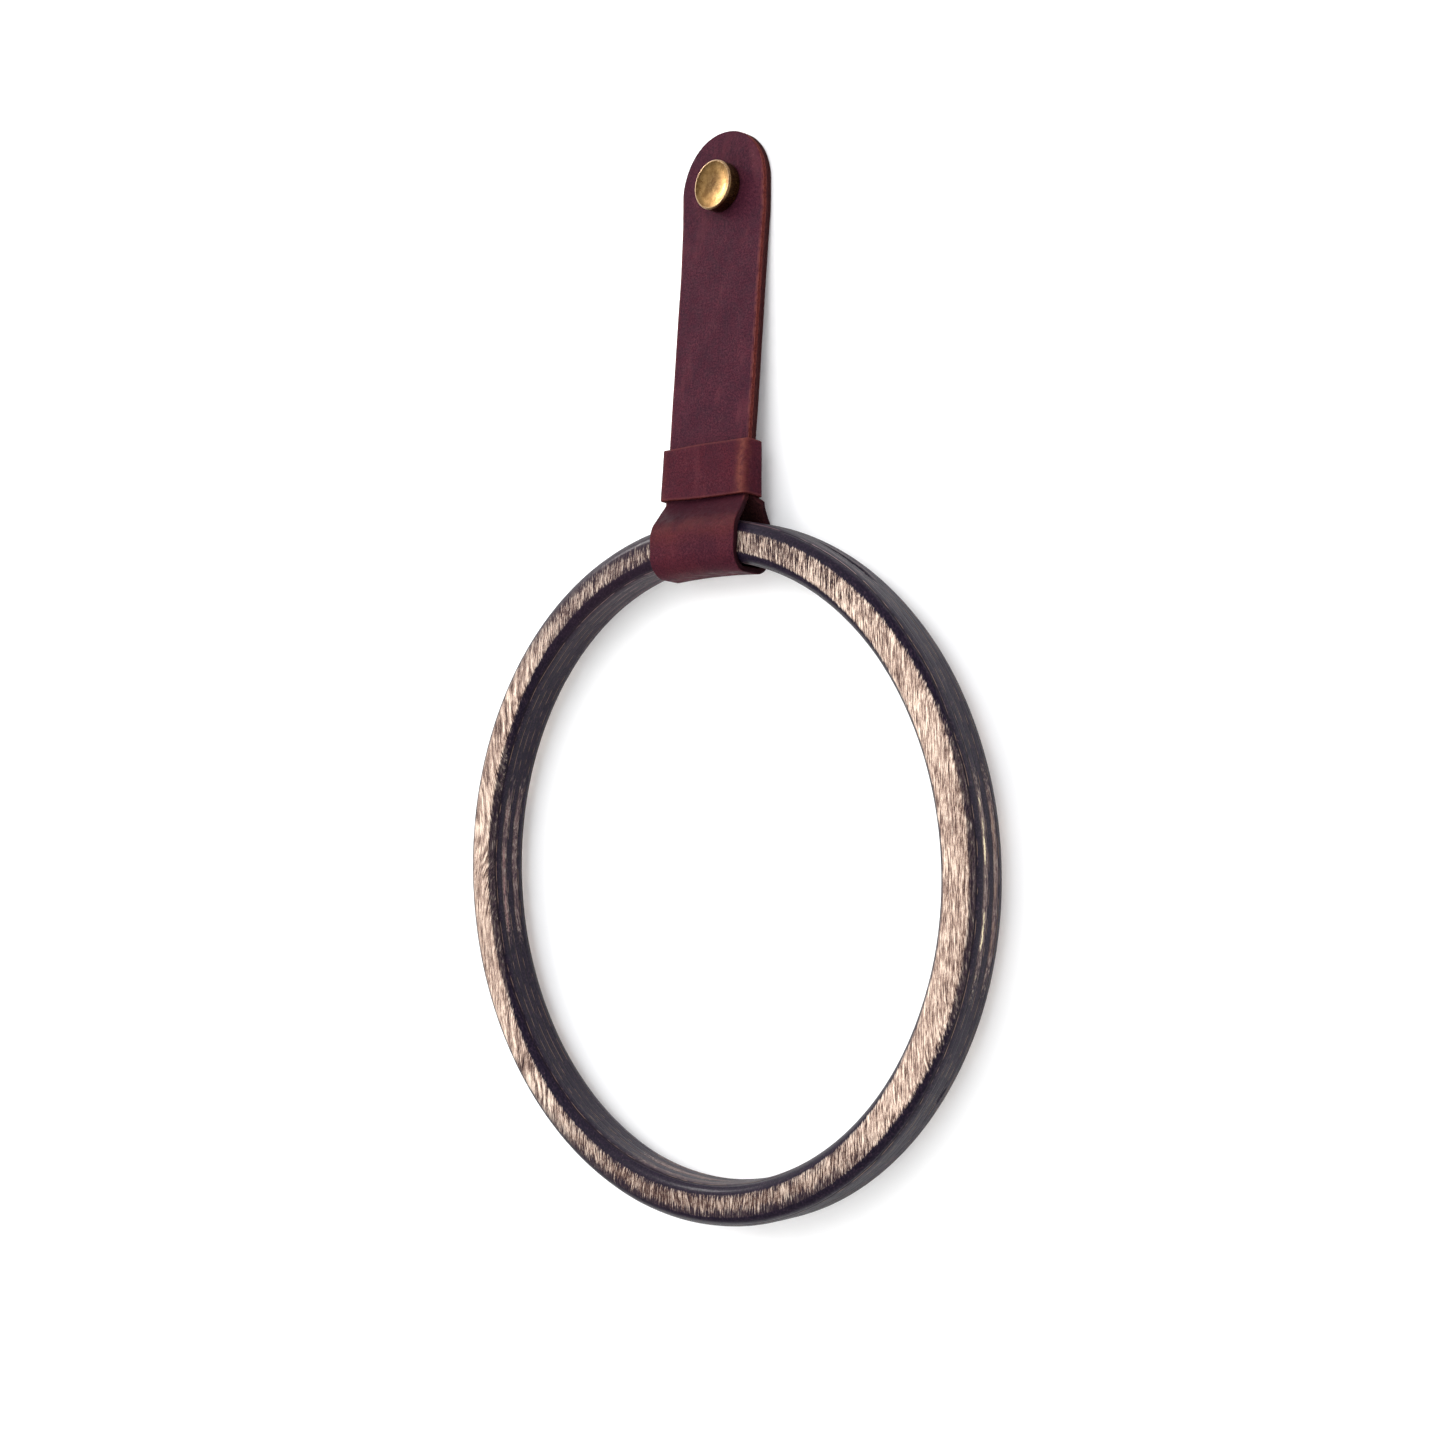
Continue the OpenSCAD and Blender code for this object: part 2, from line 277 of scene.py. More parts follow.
class Path:
    """Arc-length lookup of a polyline: place, normal and bend."""

    def __init__(self, pts, shift=0.0):
        pts = np.asarray(pts, float)
        keep = np.concatenate([[True], np.linalg.norm(np.diff(pts, axis=0), axis=1) > 1e-7])
        pts = pts[keep]
        S = np.concatenate([[0], np.cumsum(np.linalg.norm(np.diff(pts, axis=0), axis=1))])
        g = np.arange(0, S[-1], 0.1)
        g = np.append(g, S[-1])
        P = np.stack([np.interp(g, S, pts[:, 0]), np.interp(g, S, pts[:, 1])], -1)
        T = np.gradient(P, g, axis=0)
        k = np.ones(9) / 9
        T = np.stack([np.convolve(np.pad(T[:, i], 4, mode="edge"), k, mode="valid") for i in (0, 1)], -1)
        T /= np.linalg.norm(T, axis=1)[:, None]
        ang = np.unwrap(np.arctan2(T[:, 1], T[:, 0]))
        K = np.gradient(ang, g)
        K = np.convolve(np.pad(K, 12, mode="edge"), np.ones(25) / 25, mode="valid")
        self.g, self.P, self.K, self.length = g - shift, P, K, S[-1]
        self.N = np.stack([T[:, 1], -T[:, 0]], -1)

    def at(self, s):
        f = lambda a: np.interp(s, self.g, a)
        return np.stack([f(self.P[:, 0]), f(self.P[:, 1])], -1), np.stack([f(self.N[:, 0]), f(self.N[:, 1])], -1), f(self.K)


def leather(name, lay, quads, loops, place, thick, r_edge, relief, fray=0.05):
    """A sheet of leather from a flat layout.
    lay (n, 2): x and s of each point. quads: faces of the layout. loops: [(indices, outward normals)] of its borders.
    place(x, s, h) gives the point at height h over the middle of the leather, h > 0 on the grain side."""
    lay = np.asarray(lay, float)
    n = len(lay)
    x, s = lay[:, 0], lay[:, 1]
    up = thick / 2 + relief(x, s)
    dn = -thick / 2 + 0.6 * relief(x, s) + 0.03 * vnoise(x / 1.1, s / 1.1, 0, 9)
    V = [place(x, s, up), place(x, s, dn)]
    edge, flesh = [np.zeros(n), np.zeros(n)], [np.zeros(n), np.ones(n)]
    hh, lays = [up / thick, dn / thick], [lay, lay]
    faces = [tuple(q) for q in quads] + [tuple(q[::-1][i] + n for i in range(4)) for q in quads]
    total = 2 * n
    prof = [(math.sin(math.radians(a)) * r_edge, -r_edge * (1 - math.cos(math.radians(a))), 1) for a in (25, 50, 75, 90)]
    prof += [(r_edge + 0.02, None, 0.35), (r_edge + 0.03, None, 0.0), (r_edge + 0.02, None, -0.35)]
    prof += [(o, -h, -1) for (o, h, _) in prof[3::-1]]
    for idx, normals in loops:
        idx, normals = np.asarray(idx), np.asarray(normals, float)
        m = len(idx)
        rows = [idx]
        for k, (o, h, side) in enumerate(prof):
            wav = fray * vnoise(lay[idx, 0] / 1.6 + k * 0.5, lay[idx, 1] / 1.6, k * 0.7, 4) + 0.6 * fray * vnoise(lay[idx, 0] / 0.6, lay[idx, 1] / 0.6, k * 1.3, 8)
            oo = o + (wav if 2 <= k <= len(prof) - 3 else 0.3 * wav)
            q = lay[idx] + normals * oo[:, None]
            if h is None:
                height = np.full(m, side * (thick / 2 - r_edge))
            elif side > 0:
                height = up[idx] + h
            else:
                height = dn[idx] + h
            V.append(place(q[:, 0], q[:, 1], height))
            edge.append(np.full(m, (0.25, 0.7, 1.0, 1.0, 1.0, 1.0, 1.0, 1.0, 1.0, 0.7, 0.25)[k]))
            flesh.append(np.full(m, 0.0 if k < 8 else (k - 7) / 4))
            hh.append(height / thick)
            lays.append(q)
            rows.append(np.arange(total, total + m))
            total += m
        rows.append(idx + n)
        for a, b in zip(rows[:-1], rows[1:]):
            for i in range(m):
                j = (i + 1) % m
                faces.append((a[i], b[i], b[j], a[j]))
    L = np.concatenate(lays)
    H = np.concatenate(hh)
    return np.concatenate(V), faces, {"lay": np.column_stack([L, H * thick]), "edge": np.concatenate(edge), "flesh": np.concatenate(flesh)}


def strap_layout(width, r_edge, length, ds=0.6):
    """Layout of a strip with a round end and a hole at each end. s = 0 and s = length are the two hole centres."""
    X = width / 2 - r_edge
    nx = 57
    xs = X * np.sin(np.linspace(-1, 1, nx) * math.radians(72)) / math.sin(math.radians(72))
    Q = 18.0
    rows = np.linspace(Q, length - Q, int((length - 2 * Q) / ds))
    lay, quads = [], []
    for s in rows:
        lay += [(x, s) for x in xs]
    nr = len(rows)
    grid = np.arange(nr * nx).reshape(nr, nx)
    for i in range(nr - 1):
        for j in range(nx - 1):
            quads.append((grid[i, j], grid[i, j + 1], grid[i + 1, j + 1], grid[i + 1, j]))
    border = [(x, Q, 0, 0) for x in xs]
    side = np.linspace(Q, 0, 22)
    border += [(X, q, 1, 0) for q in side[1:]]
    na = 72
    border += [(X * math.cos(a), -X * math.sin(a), math.cos(a), -math.sin(a)) for a in np.linspace(0, np.pi, na)[1:]]
    border += [(-X, q, -1, 0) for q in side[::-1][1:-1]]
    border = np.array(border)
    nb = len(border)
    hr = HOLE_R + 0.25
    ang = np.arctan2(border[:, 1], border[:, 0])
    inner = np.column_stack([hr * np.cos(ang), hr * np.sin(ang)])
    w = 1 - (1 - np.linspace(0, 1, 20)) ** 1.25
    ends = []
    for end in (0, 1):
        put = (lambda p: (p[0], p[1])) if end == 0 else (lambda p: (p[0], length - p[1]))
        base = grid[0] if end == 0 else grid[-1]
        index = np.zeros((len(w), nb), int)
        for r, wr in enumerate(w):
            for b in range(nb):
                if r == 0 and b < nx:
                    index[r, b] = base[b]
                    continue
                p = border[b, :2] * (1 - wr) + inner[b] * wr
                index[r, b] = len(lay)
                lay.append(put(p))
        for r in range(len(w) - 1):
            for b in range(nb):
                c = (b + 1) % nb
                quads.append((index[r, b], index[r, c], index[r + 1, c], index[r + 1, b]))
        ends.append(index)
    A, B = ends
    # outer border, in order: end A from its right corner round the tip, down the left side, end B back to the right side
    idx, nor = [], []
    for b in list(range(nx - 1, nb)) + [0]:
        idx.append(A[0, b])
        nor.append((1, 0) if b == nx - 1 else (-1, 0) if b == 0 else tuple(border[b, 2:]))
    for i in range(1, nr - 1):
        idx.append(grid[i, 0])
        nor.append((-1, 0))
    for b in [0] + list(range(nb - 1, nx - 2, -1)):
        idx.append(B[0, b])
        nor.append((-1, 0) if b == 0 else (1, 0) if b == nx - 1 else (border[b, 2], -border[b, 3]))
    for i in range(nr - 2, 0, -1):
        idx.append(grid[i, -1])
        nor.append((1, 0))
    loops = [(idx, nor)]
    for end, index in enumerate(ends):
        hole_n = np.column_stack([-np.cos(ang), -np.sin(ang) * (1 if end == 0 else -1)])
        loops.append((index[-1], hole_n))
    return np.array(lay), quads, loops


strap_curve = Path(strap_path(), shift=16.0)
STRAP_L = strap_curve.length - 32.0
lay, quads, loops = strap_layout(STRAP_W, 0.38, STRAP_L)
S_MID = STRAP_L / 2


def strap_relief(x, s):
    loop = smooth(np.abs(s - S_MID), 26, 16)
    hole = np.hypot(x, s)
    hole2 = np.hypot(x, s - STRAP_L)
    press = -0.05 * (smooth(hole, 8.6, 7.4) * smooth(hole, 6.0, 7.2) + smooth(hole2, 8.6, 7.4) * smooth(hole2, 6.0, 7.2))
    calm = 1 - 0.7 * loop
    d = 0.045 * vnoise(x / 9, s / 13, 0, 1) * calm + 0.022 * vnoise(x / 3.1, s / 3.7, 0, 2) + 0.01 * vnoise(x / 1.0, s / 1.0, 0, 3)
    k = np.abs(np.interp(s, strap_curve.g, strap_curve.K))
    wrinkle = 0.03 * vnoise(x / 2.6, s * 1.4, 0, 6) * smooth(k, 0.08, 0.2)
    return d + press + wrinkle


# how far the fold wanders sideways and spreads, by distance along the strip from its lowest point (front > 0)
ASKEW_D = (-35, -32, -30.3, -29.4, -28, -26, -24, -22, -14, -8, -3, 2, 6, 11, 16, 19, 21, 23, 25, 27, 29, 31)
ASKEW_X = (0, 0, 0.08, 0.6, 1.2, 0.75, 0.4, 0.1, -0.1, 0.1, 0.7, 1.7, 2.4, 2.75, 2.9, 2.95, 2.6, 2.0, 1.3, 0.65, 0.2, 0)
BROAD_D = (-32, -30.3, -29.4, -28, -26, -20, -12, -4, 3, 7, 11, 16, 20, 24, 27, 29, 31, 32)
BROAD_X = (0, 0.06, 0.45, 0.8, 0.75, 0.85, 0.8, 0.5, 0.4, 0.55, 0.85, 0.95, 1.0, 0.85, 0.6, 0.3, 0.05, 0)

# the back leg of the fold hangs away from the front, towards the wall, and wedges the keeper open at its foot
SAG_G = np.linspace(-60, -10, 201)
SAG_Y = np.interp(SAG_G, (-52, -47, -39, -35, -31, -30, -29, -28, -26, -24, -22, -20, -18, -16), (0, 0.05, 0.5, 0.8, 1.1, 1.2, 1.9, 2.2, 1.6, 1.2, 0.7, 0.3, 0.05, 0))
SAG_Y = np.convolve(np.pad(SAG_Y, 4, mode="edge"), np.hanning(11)[1:-1] / np.hanning(11).sum(), mode="valid")


def strap_place(x, s, h):
    x, s, h = np.broadcast_arrays(np.asarray(x, float), np.asarray(s, float), np.asarray(h, float))
    P, N, _ = strap_curve.at(s)
    # hand-cut sides, a little uneven, and the loop spread slightly by the ring
    d = S_MID - s
    askew = np.interp(d, ASKEW_D, ASKEW_X)
    broad = np.interp(d, BROAD_D, BROAD_X)
    side = 1 + 0.004 * vnoise(s / 16, 0.3, np.sign(x), 2) + broad / (STRAP_W / 2)
    x = x * side + askew
    # under the ring the leather is dished to the curve of its inner edge
    under = smooth(np.abs(s - S_MID), 13, 4)
    z = P[..., 1] + N[..., 1] * h - under * 0.75 * (x / 19.0) ** 2
    # the hanging end was cut a touch fuller than the rest
    full = np.where(x < 0, -np.interp(z, (-76, -62, -26, -10, 16), (0, 0.06, 0.06, 0.5, 0.5)), np.interp(z, (-76, -62, -26, -10, 4, 16), (0, 0.10, 0.10, 0.35, 0.35, 0.7)))
    x = x + full * np.abs(x) / (STRAP_W / 2)
    z = z + 0.6 * smooth(z, 3, 16)
    return np.stack([x, P[..., 0] + N[..., 0] * h + np.interp(d, SAG_G, SAG_Y), z], -1)


V, F, attrs = leather("strap", lay, quads, loops, strap_place, LEAF, 0.38, strap_relief)
attrs["bend"] = np.interp(attrs["lay"][:, 1], strap_curve.g, strap_curve.K)
strap_ob = build("strap_leather", V, F, attrs=attrs)

# keeper band, wrapped round both layers, butted at the back
k_lo, k_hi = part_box("keeper")
KEEP_H, KEEP_T = 16.0, 1.25
KEEP_Z = RING_TOP + 6.8 + KEEP_H / 2 * math.cos(math.atan(LEAN))
KEEP_W, KEEP_D = 32.3, 3.9


def rounded_path(w, d, r):
    pts = [(0.1, d / 2), (w / 2 - r, d / 2)] + arc_pts(w / 2 - r, d / 2 - r, r, 90, 0, 14)[1:] + arc_pts(w / 2 - r, -d / 2 + r, r, 0, -90, 14)
    pts += arc_pts(-w / 2 + r, -d / 2 + r, r, 270, 180, 14) + arc_pts(-w / 2 + r, d / 2 - r, r, 180, 90, 14) + [(-0.1, d / 2)]
    return np.array(pts)


keep_curve = Path(dense(rounded_path(KEEP_W + KEEP_T, KEEP_D + KEEP_T, 0.98), 0.12))
KEEP_L = keep_curve.length
lean = math.atan(LEAN)
ky, _ = strap_mid(KEEP_Z)


def keeper_sag(w):
    return 0.05 + 1.25 * np.clip((8 - w) / 16, 0, 1)


def keeper_place(u, w, h):
    u, w, h = np.broadcast_arrays(np.asarray(u, float), np.asarray(w, float), np.asarray(h, float))
    P, N, K = keep_curve.at(u)
    # path runs back, right side, front, left side, back
    f = (u - KEEP_L / 2) / (KEEP_W / 2)
    front = smooth(np.abs(f), 1.02, 0.85)
    bow = front * (0.16 * (1 - np.clip(f, -1, 1) ** 2) + 0.10 * (w / 8) ** 2)
    corner = np.exp(-(((np.abs(f) - 1.0) / 0.10) ** 2))
    h = h + bow + 0.10 * corner * (1 - 0.4 * (w / 8) ** 2)
    w2 = w * (1 + 0.012 * np.sin(u * 0.21 + 0.6)) + 0.16 * vnoise(u / 11, np.sign(w) * 2.0, 0, 5) - 0.09 * smooth(f, 0.2, 1.0) * np.sign(w) + 0.45 * smooth(f, 0.3, 1.15) * smooth(w, 2, -8)
    lx, ly = P[..., 0] - N[..., 0] * h, P[..., 1] - N[..., 1] * h
    lx = lx + 0.3 * smooth(lx, 11.0, 16.0) - 0.2 * smooth(-lx, 11.0, 16.0)
    ly = ly + keeper_sag(w) * smooth(ly, 0.0, 1.5)
    c, s_ = math.cos(lean), math.sin(lean)
    y = ky + ly * c + w2 * s_
    z = KEEP_Z - ly * s_ + w2 * c - 0.024 * lx
    return np.stack([lx, y, z], -1)


def keeper_layout(r_edge, du=0.35, dw=0.5):
    us = np.linspace(r_edge, KEEP_L - r_edge, int(KEEP_L / du))
    ws = np.linspace(-KEEP_H / 2 + r_edge, KEEP_H / 2 - r_edge, int(KEEP_H / dw))
    nu, nw = len(us), len(ws)
    lay = np.array([(u, w) for u in us for w in ws])
    grid = np.arange(nu * nw).reshape(nu, nw)
    q = [(grid[i, j], grid[i + 1, j], grid[i + 1, j + 1], grid[i, j + 1]) for i in range(nu - 1) for j in range(nw - 1)]
    idx = list(grid[:, 0]) + list(grid[-1, 1:]) + list(grid[-2::-1, -1]) + list(grid[0, -2:0:-1])
    nor = []
    for g in idx:
        u, w = lay[g]
        nx_ = -1 if u == us[0] else 1 if u == us[-1] else 0
        ny_ = -1 if w == ws[0] else 1 if w == ws[-1] else 0
        m = math.hypot(nx_, ny_)
        nor.append((nx_ / m, ny_ / m))
    return lay, q, [(idx, nor)]


def keeper_relief(u, w):
    k = np.abs(np.interp(u, keep_curve.g, keep_curve.K))
    return 0.03 * vnoise(u / 7, w / 6, 0, 11) + 0.014 * vnoise(u / 2.2, w / 2.2, 0, 12) + 0.03 * vnoise(u * 1.3, w / 2.0, 0, 13) * smooth(k, 0.1, 0.4)


klay, kquads, kloops = keeper_layout(0.3)
V, F, attrs = leather("keeper", klay, kquads, kloops, keeper_place, KEEP_T, 0.3, keeper_relief, fray=0.035)
f_ = (attrs["lay"][:, 0] - KEEP_L / 2) / (KEEP_W / 2)
attrs["bend"] = np.interp(attrs["lay"][:, 0], keep_curve.g, np.abs(keep_curve.K))
attrs["fold"] = np.exp(-(((f_ + 0.93) / 0.10) ** 2)) + 0.25 * np.exp(-(((f_ - 0.97) / 0.06) ** 2))
keeper_ob = build("keeper_band", V, F, attrs=attrs)


# ---------------------------------------------------------------- stitches of the keeper: waxed two-ply thread
def make_stitches():
    verts, faces = [], []
    half, r = 2.2, 0.34
    y_out, y_in = (KEEP_D / 2 + KEEP_T), KEEP_D / 2
    nst = 3
    c, s_ = math.cos(lean), math.sin(lean)
    for i in range(nst):
        w0 = (i - (nst - 1) / 2) * KEEP_H / (nst + 0.6)
        line = [(-half, y_in + 0.05, w0)]
        line += [(-half, y_out - 0.15, w0)]
        line += [(-half + 0.36 * (1 - math.cos(a)), y_out + 0.10 + 0.32 * math.sin(a), w0 + 0.02) for a in np.linspace(0.1, math.pi / 2, 8)]
        line += [(x, y_out + 0.42 - 0.03 * math.cos(x * 0.7), w0 + 0.06 * math.sin(x * 1.4 + i)) for x in np.linspace(-half + 0.6, half - 0.6, 24)]
        line += [(half - 0.36 * (1 - math.cos(a)), y_out + 0.10 + 0.32 * math.sin(a), w0 - 0.02) for a in np.linspace(math.pi / 2, 0.1, 8)]
        line += [(half, y_out - 0.15, w0), (half, y_in + 0.05, w0)]
        p = dense(line, 0.09)
        T = np.gradient(p, axis=0)
        T /= np.linalg.norm(T, axis=1)[:, None]
        up = np.array([0, 0, 1.0])
        A = np.cross(T, up)
        A /= np.linalg.norm(A, axis=1)[:, None]
        B = np.cross(T, A)
        L = np.concatenate([[0], np.cumsum(np.linalg.norm(np.diff(p, axis=0), axis=1))])
        n = 20
        th = np.linspace(0, 2 * np.pi, n, endpoint=False)
        base = len(verts)
        for k in range(len(p)):
            tw = L[k] * 5.2
            rr = r * (0.80 + 0.20 * np.abs(np.cos(th - tw)))
            for a, q in zip(th, rr):
                v = p[k] + A[k] * math.cos(a) * q + B[k] * math.sin(a) * q
                v[1] += keeper_sag(v[2])
                verts.append((v[0], ky + v[1] * c + v[2] * s_, KEEP_Z - v[1] * s_ + v[2] * c - 0.024 * v[0]))
        m = len(p)
        for k in range(m - 1):
            for a in range(n):
                b = (a + 1) % n
                faces.append((base + k * n + a, base + k * n + b, base + (k + 1) * n + b, base + (k + 1) * n + a))
        faces.append(tuple(base + a for a in range(n))[::-1])
        faces.append(tuple(base + (m - 1) * n + a for a in range(n)))
    return build("keeper_stitches", verts, faces)


stitch_ob = make_stitches()


# ---------------------------------------------------------------- brass cap, seat, screw, plug
def grid_of(prof, n):
    prof = np.asarray(prof, float)
    return np.repeat(prof[:, :1], n, 1), np.repeat(prof[:, 1:], n, 1), np.linspace(0, 2 * np.pi, n, endpoint=False)[None, :]


def make_cap():
    rim, depth = 0.45, 0.7
    a = CAP_R - rim
    Rd = (a * a + depth * depth) / (2 * depth)
    prof = [(x, CAP_Y0 + depth - (Rd - math.sqrt(Rd * Rd - x * x))) for x in np.linspace(0, a - 0.12, 46)]
    prof += [(a + rim * math.sin(t), CAP_Y0 + rim - rim * math.cos(t)) for t in np.linspace(-0.12, math.pi / 2, 14)]
    prof += [(CAP_R, y) for y in np.linspace(CAP_Y0 + rim, CAP_Y1 - 0.25, 22)[1:]]
    prof += [(CAP_R - 0.06, CAP_Y1 - 0.07), (CAP_R - 0.2, CAP_Y1)]
    seat_r = 6.35
    y_in = -STRAP_T - 0.05 - 3 - 0.2
    prof += [(seat_r + 0.12, CAP_Y1), (seat_r, CAP_Y1 - 0.12)]
    prof += [(seat_r, y) for y in np.linspace(CAP_Y1 - 0.3, y_in + 0.2, 12)]
    prof += [(seat_r - 0.2, y_in)] + [(x, y_in) for x in np.linspace(seat_r - 0.6, 0, 12)]
    R, Y, phi = grid_of(prof, 192)
    X, Z = R * np.cos(phi), R * np.sin(phi)
    face = (Y < CAP_Y0 + 1.2) & (np.arange(len(prof))[:, None] < 62)
    Y = Y + np.where(face, 0.016 * vnoise(X / 2.6, Z / 2.6, 0, 21) + 0.006 * vnoise(X / 0.8, Z / 0.8, 0, 22), 0)
    side = (np.arange(len(prof))[:, None] > 58) & (np.arange(len(prof))[:, None] < 84)
    # fine turning marks on the side, and a few knocks on the rim
    R = R + np.where(side, 0.010 * np.sin(Y * 17) + 0.012 * vnoise(np.cos(phi) * 6, np.sin(phi) * 6, Y, 23), 0)
    R[0, :] = 0
    R[-1, :] = 0
    return turned("brass_cap", R, Y, False)


def make_seat():
    seat_y, seat_h, seat_r, head_r, shank = -STRAP_T - 0.05, 3.0, 6.3, 4.0, 2.1
    head_y = seat_y - seat_h + 0.15
    prof = [(shank, seat_y)] + [(x, seat_y) for x in np.linspace(shank + 0.4, seat_r - 0.3, 6)] + [(seat_r, seat_y - 0.3)]
    prof += [(seat_r, y) for y in np.linspace(seat_y - 0.4, seat_y - seat_h + 0.45, 46)]
    prof += [(seat_r, seat_y - seat_h + 0.4), (seat_r - 0.4, seat_y - seat_h)]
    prof += [(x, seat_y - seat_h) for x in np.linspace(seat_r - 0.7, head_r + 0.2, 4)] + [(head_r + 0.12, seat_y - seat_h + 0.04), (head_r + 0.12, head_y + 0.2)]
    prof += [(head_r + 0.12 - t, head_y + 0.2 + t) for t in np.linspace(0.2, head_r + 0.12 - shank, 8)]
    R, Y, phi = grid_of(prof, 144)
    body = (np.arange(len(prof))[:, None] > 7) & (np.arange(len(prof))[:, None] < 53)
    # fine male thread the cap screws on to
    R = R - np.where(body, 0.09 * (0.5 - 0.5 * np.cos((Y / 0.5 + phi / (2 * np.pi)) * 2 * np.pi)), 0)
    return turned("cap_seat_turned", R, Y, True)


def make_screw():
    head_y = -STRAP_T - 0.05 - 3 + 0.15
    head_r, shank, core, crest, pitch, y0, tip = 4.0, 1.5, 1.4, 1.9, 1.6, 3.5, head_y + 40
    prof = [(x, head_y) for x in np.linspace(0, 3.85, 48)] + [(3.97, head_y + 0.06), (head_r, head_y + 0.14), (head_r, head_y + 0.25)]
    prof += [(head_r - t, head_y + 0.25 + t) for t in np.linspace(0.15, head_r - shank, 12)]
    prof += [(shank, y) for y in np.linspace(head_y + 0.25 + head_r - shank + 0.3, y0 - 0.5, 14)]
    n_t = len(prof)
    prof += [(core, y) for y in np.linspace(y0 - 0.2, tip - 3.4, 330)]
    prof += [(core * (tip - y) / 3.4, y) for y in np.linspace(tip - 3.3, tip, 24)]
    R, Y, phi = grid_of(prof, 96)
    turn = (Y - y0) / pitch - phi / (2 * np.pi)
    f = turn - np.floor(turn)
    ridge = np.clip(1 - np.abs(f - 0.5) / 0.24, 0, 1)
    ridge = np.minimum(ridge, 0.86) / 0.86
    fade = smooth(Y, y0 - 0.2, y0 + 1.6) * smooth(Y, tip - 0.2, tip - 4.5)
    R = R + np.where(np.arange(len(prof))[:, None] >= n_t, (crest - core) * ridge * fade, 0)
    # cross recess
    X, Z = R * np.cos(phi), R * np.sin(phi)
    headface = np.arange(len(prof))[:, None] < 48
    arm = np.maximum(smooth(np.abs(X), 0.62, 0.40) * smooth(np.abs(Z), 2.3, 2.0), smooth(np.abs(Z), 0.62, 0.40) * smooth(np.abs(X), 2.3, 2.0))
    depth = 1.6 - 0.35 * np.hypot(X, Z)
    Y = Y + np.where(headface, arm * depth + 0.01 * vnoise(X / 1.1, Z / 1.1, 0, 31), 0)
    R[0, :] = 0
    R[-1, :] = 0
    return turned("steel_screw", R, Y, False)


def make_plug():
    y0, length, r, bore = 2.5, 30.0, 3.0, 1.95
    prof = [(bore, y0), (bore + 0.3, y0), (r - 0.3, y0), (r - 0.02, y0 + 0.3)]
    prof += [(r - 0.02, y) for y in np.linspace(y0 + 0.5, y0 + length - 0.9, 170)]
    prof += [(r - 0.4, y0 + length - 0.3), (r - 0.8, y0 + length), (bore + 0.1, y0 + length)]
    n_o = len(prof)
    prof += [(bore, y) for y in np.linspace(y0 + length - 0.2, y0 + 0.3, 60)]
    R, Y, phi = grid_of(prof, 120)
    body = (np.arange(len(prof))[:, None] >= 4) & (np.arange(len(prof))[:, None] < 174)
    t = Y - y0
    # saw-tooth barbs, two long slits and two keels
    saw = ((t - 5) / 2.2) % 1.0
    barb = np.where((t > 5) & (t < 25), 0.34 * saw, 0.0)
    slit = np.exp(-((np.sin(phi) * r / 0.28) ** 2)) * smooth(t, 3.5, 6.5) * smooth(t, 29.2, 27.5)
    keel = np.exp(-((np.cos(phi) * r / 0.45) ** 2)) * smooth(t, 2.0, 5.0) * smooth(t, 16, 12)
    R = R - np.where(body, barb * (1 - keel) + 0.62 * slit * (1 - 0.0 * barb), 0)
    return turned("nylon_plug", R, Y, True)


cap_ob, seat_ob, screw_ob, plug_ob = make_cap(), make_seat(), make_screw(), make_plug()


# ---------------------------------------------------------------- materials
def rgb(r, g, b):
    f = lambda c: c / 255 / 12.92 if c / 255 <= 0.04045 else ((c / 255 + 0.055) / 1.055) ** 2.4
    return (f(r), f(g), f(b), 1.0)


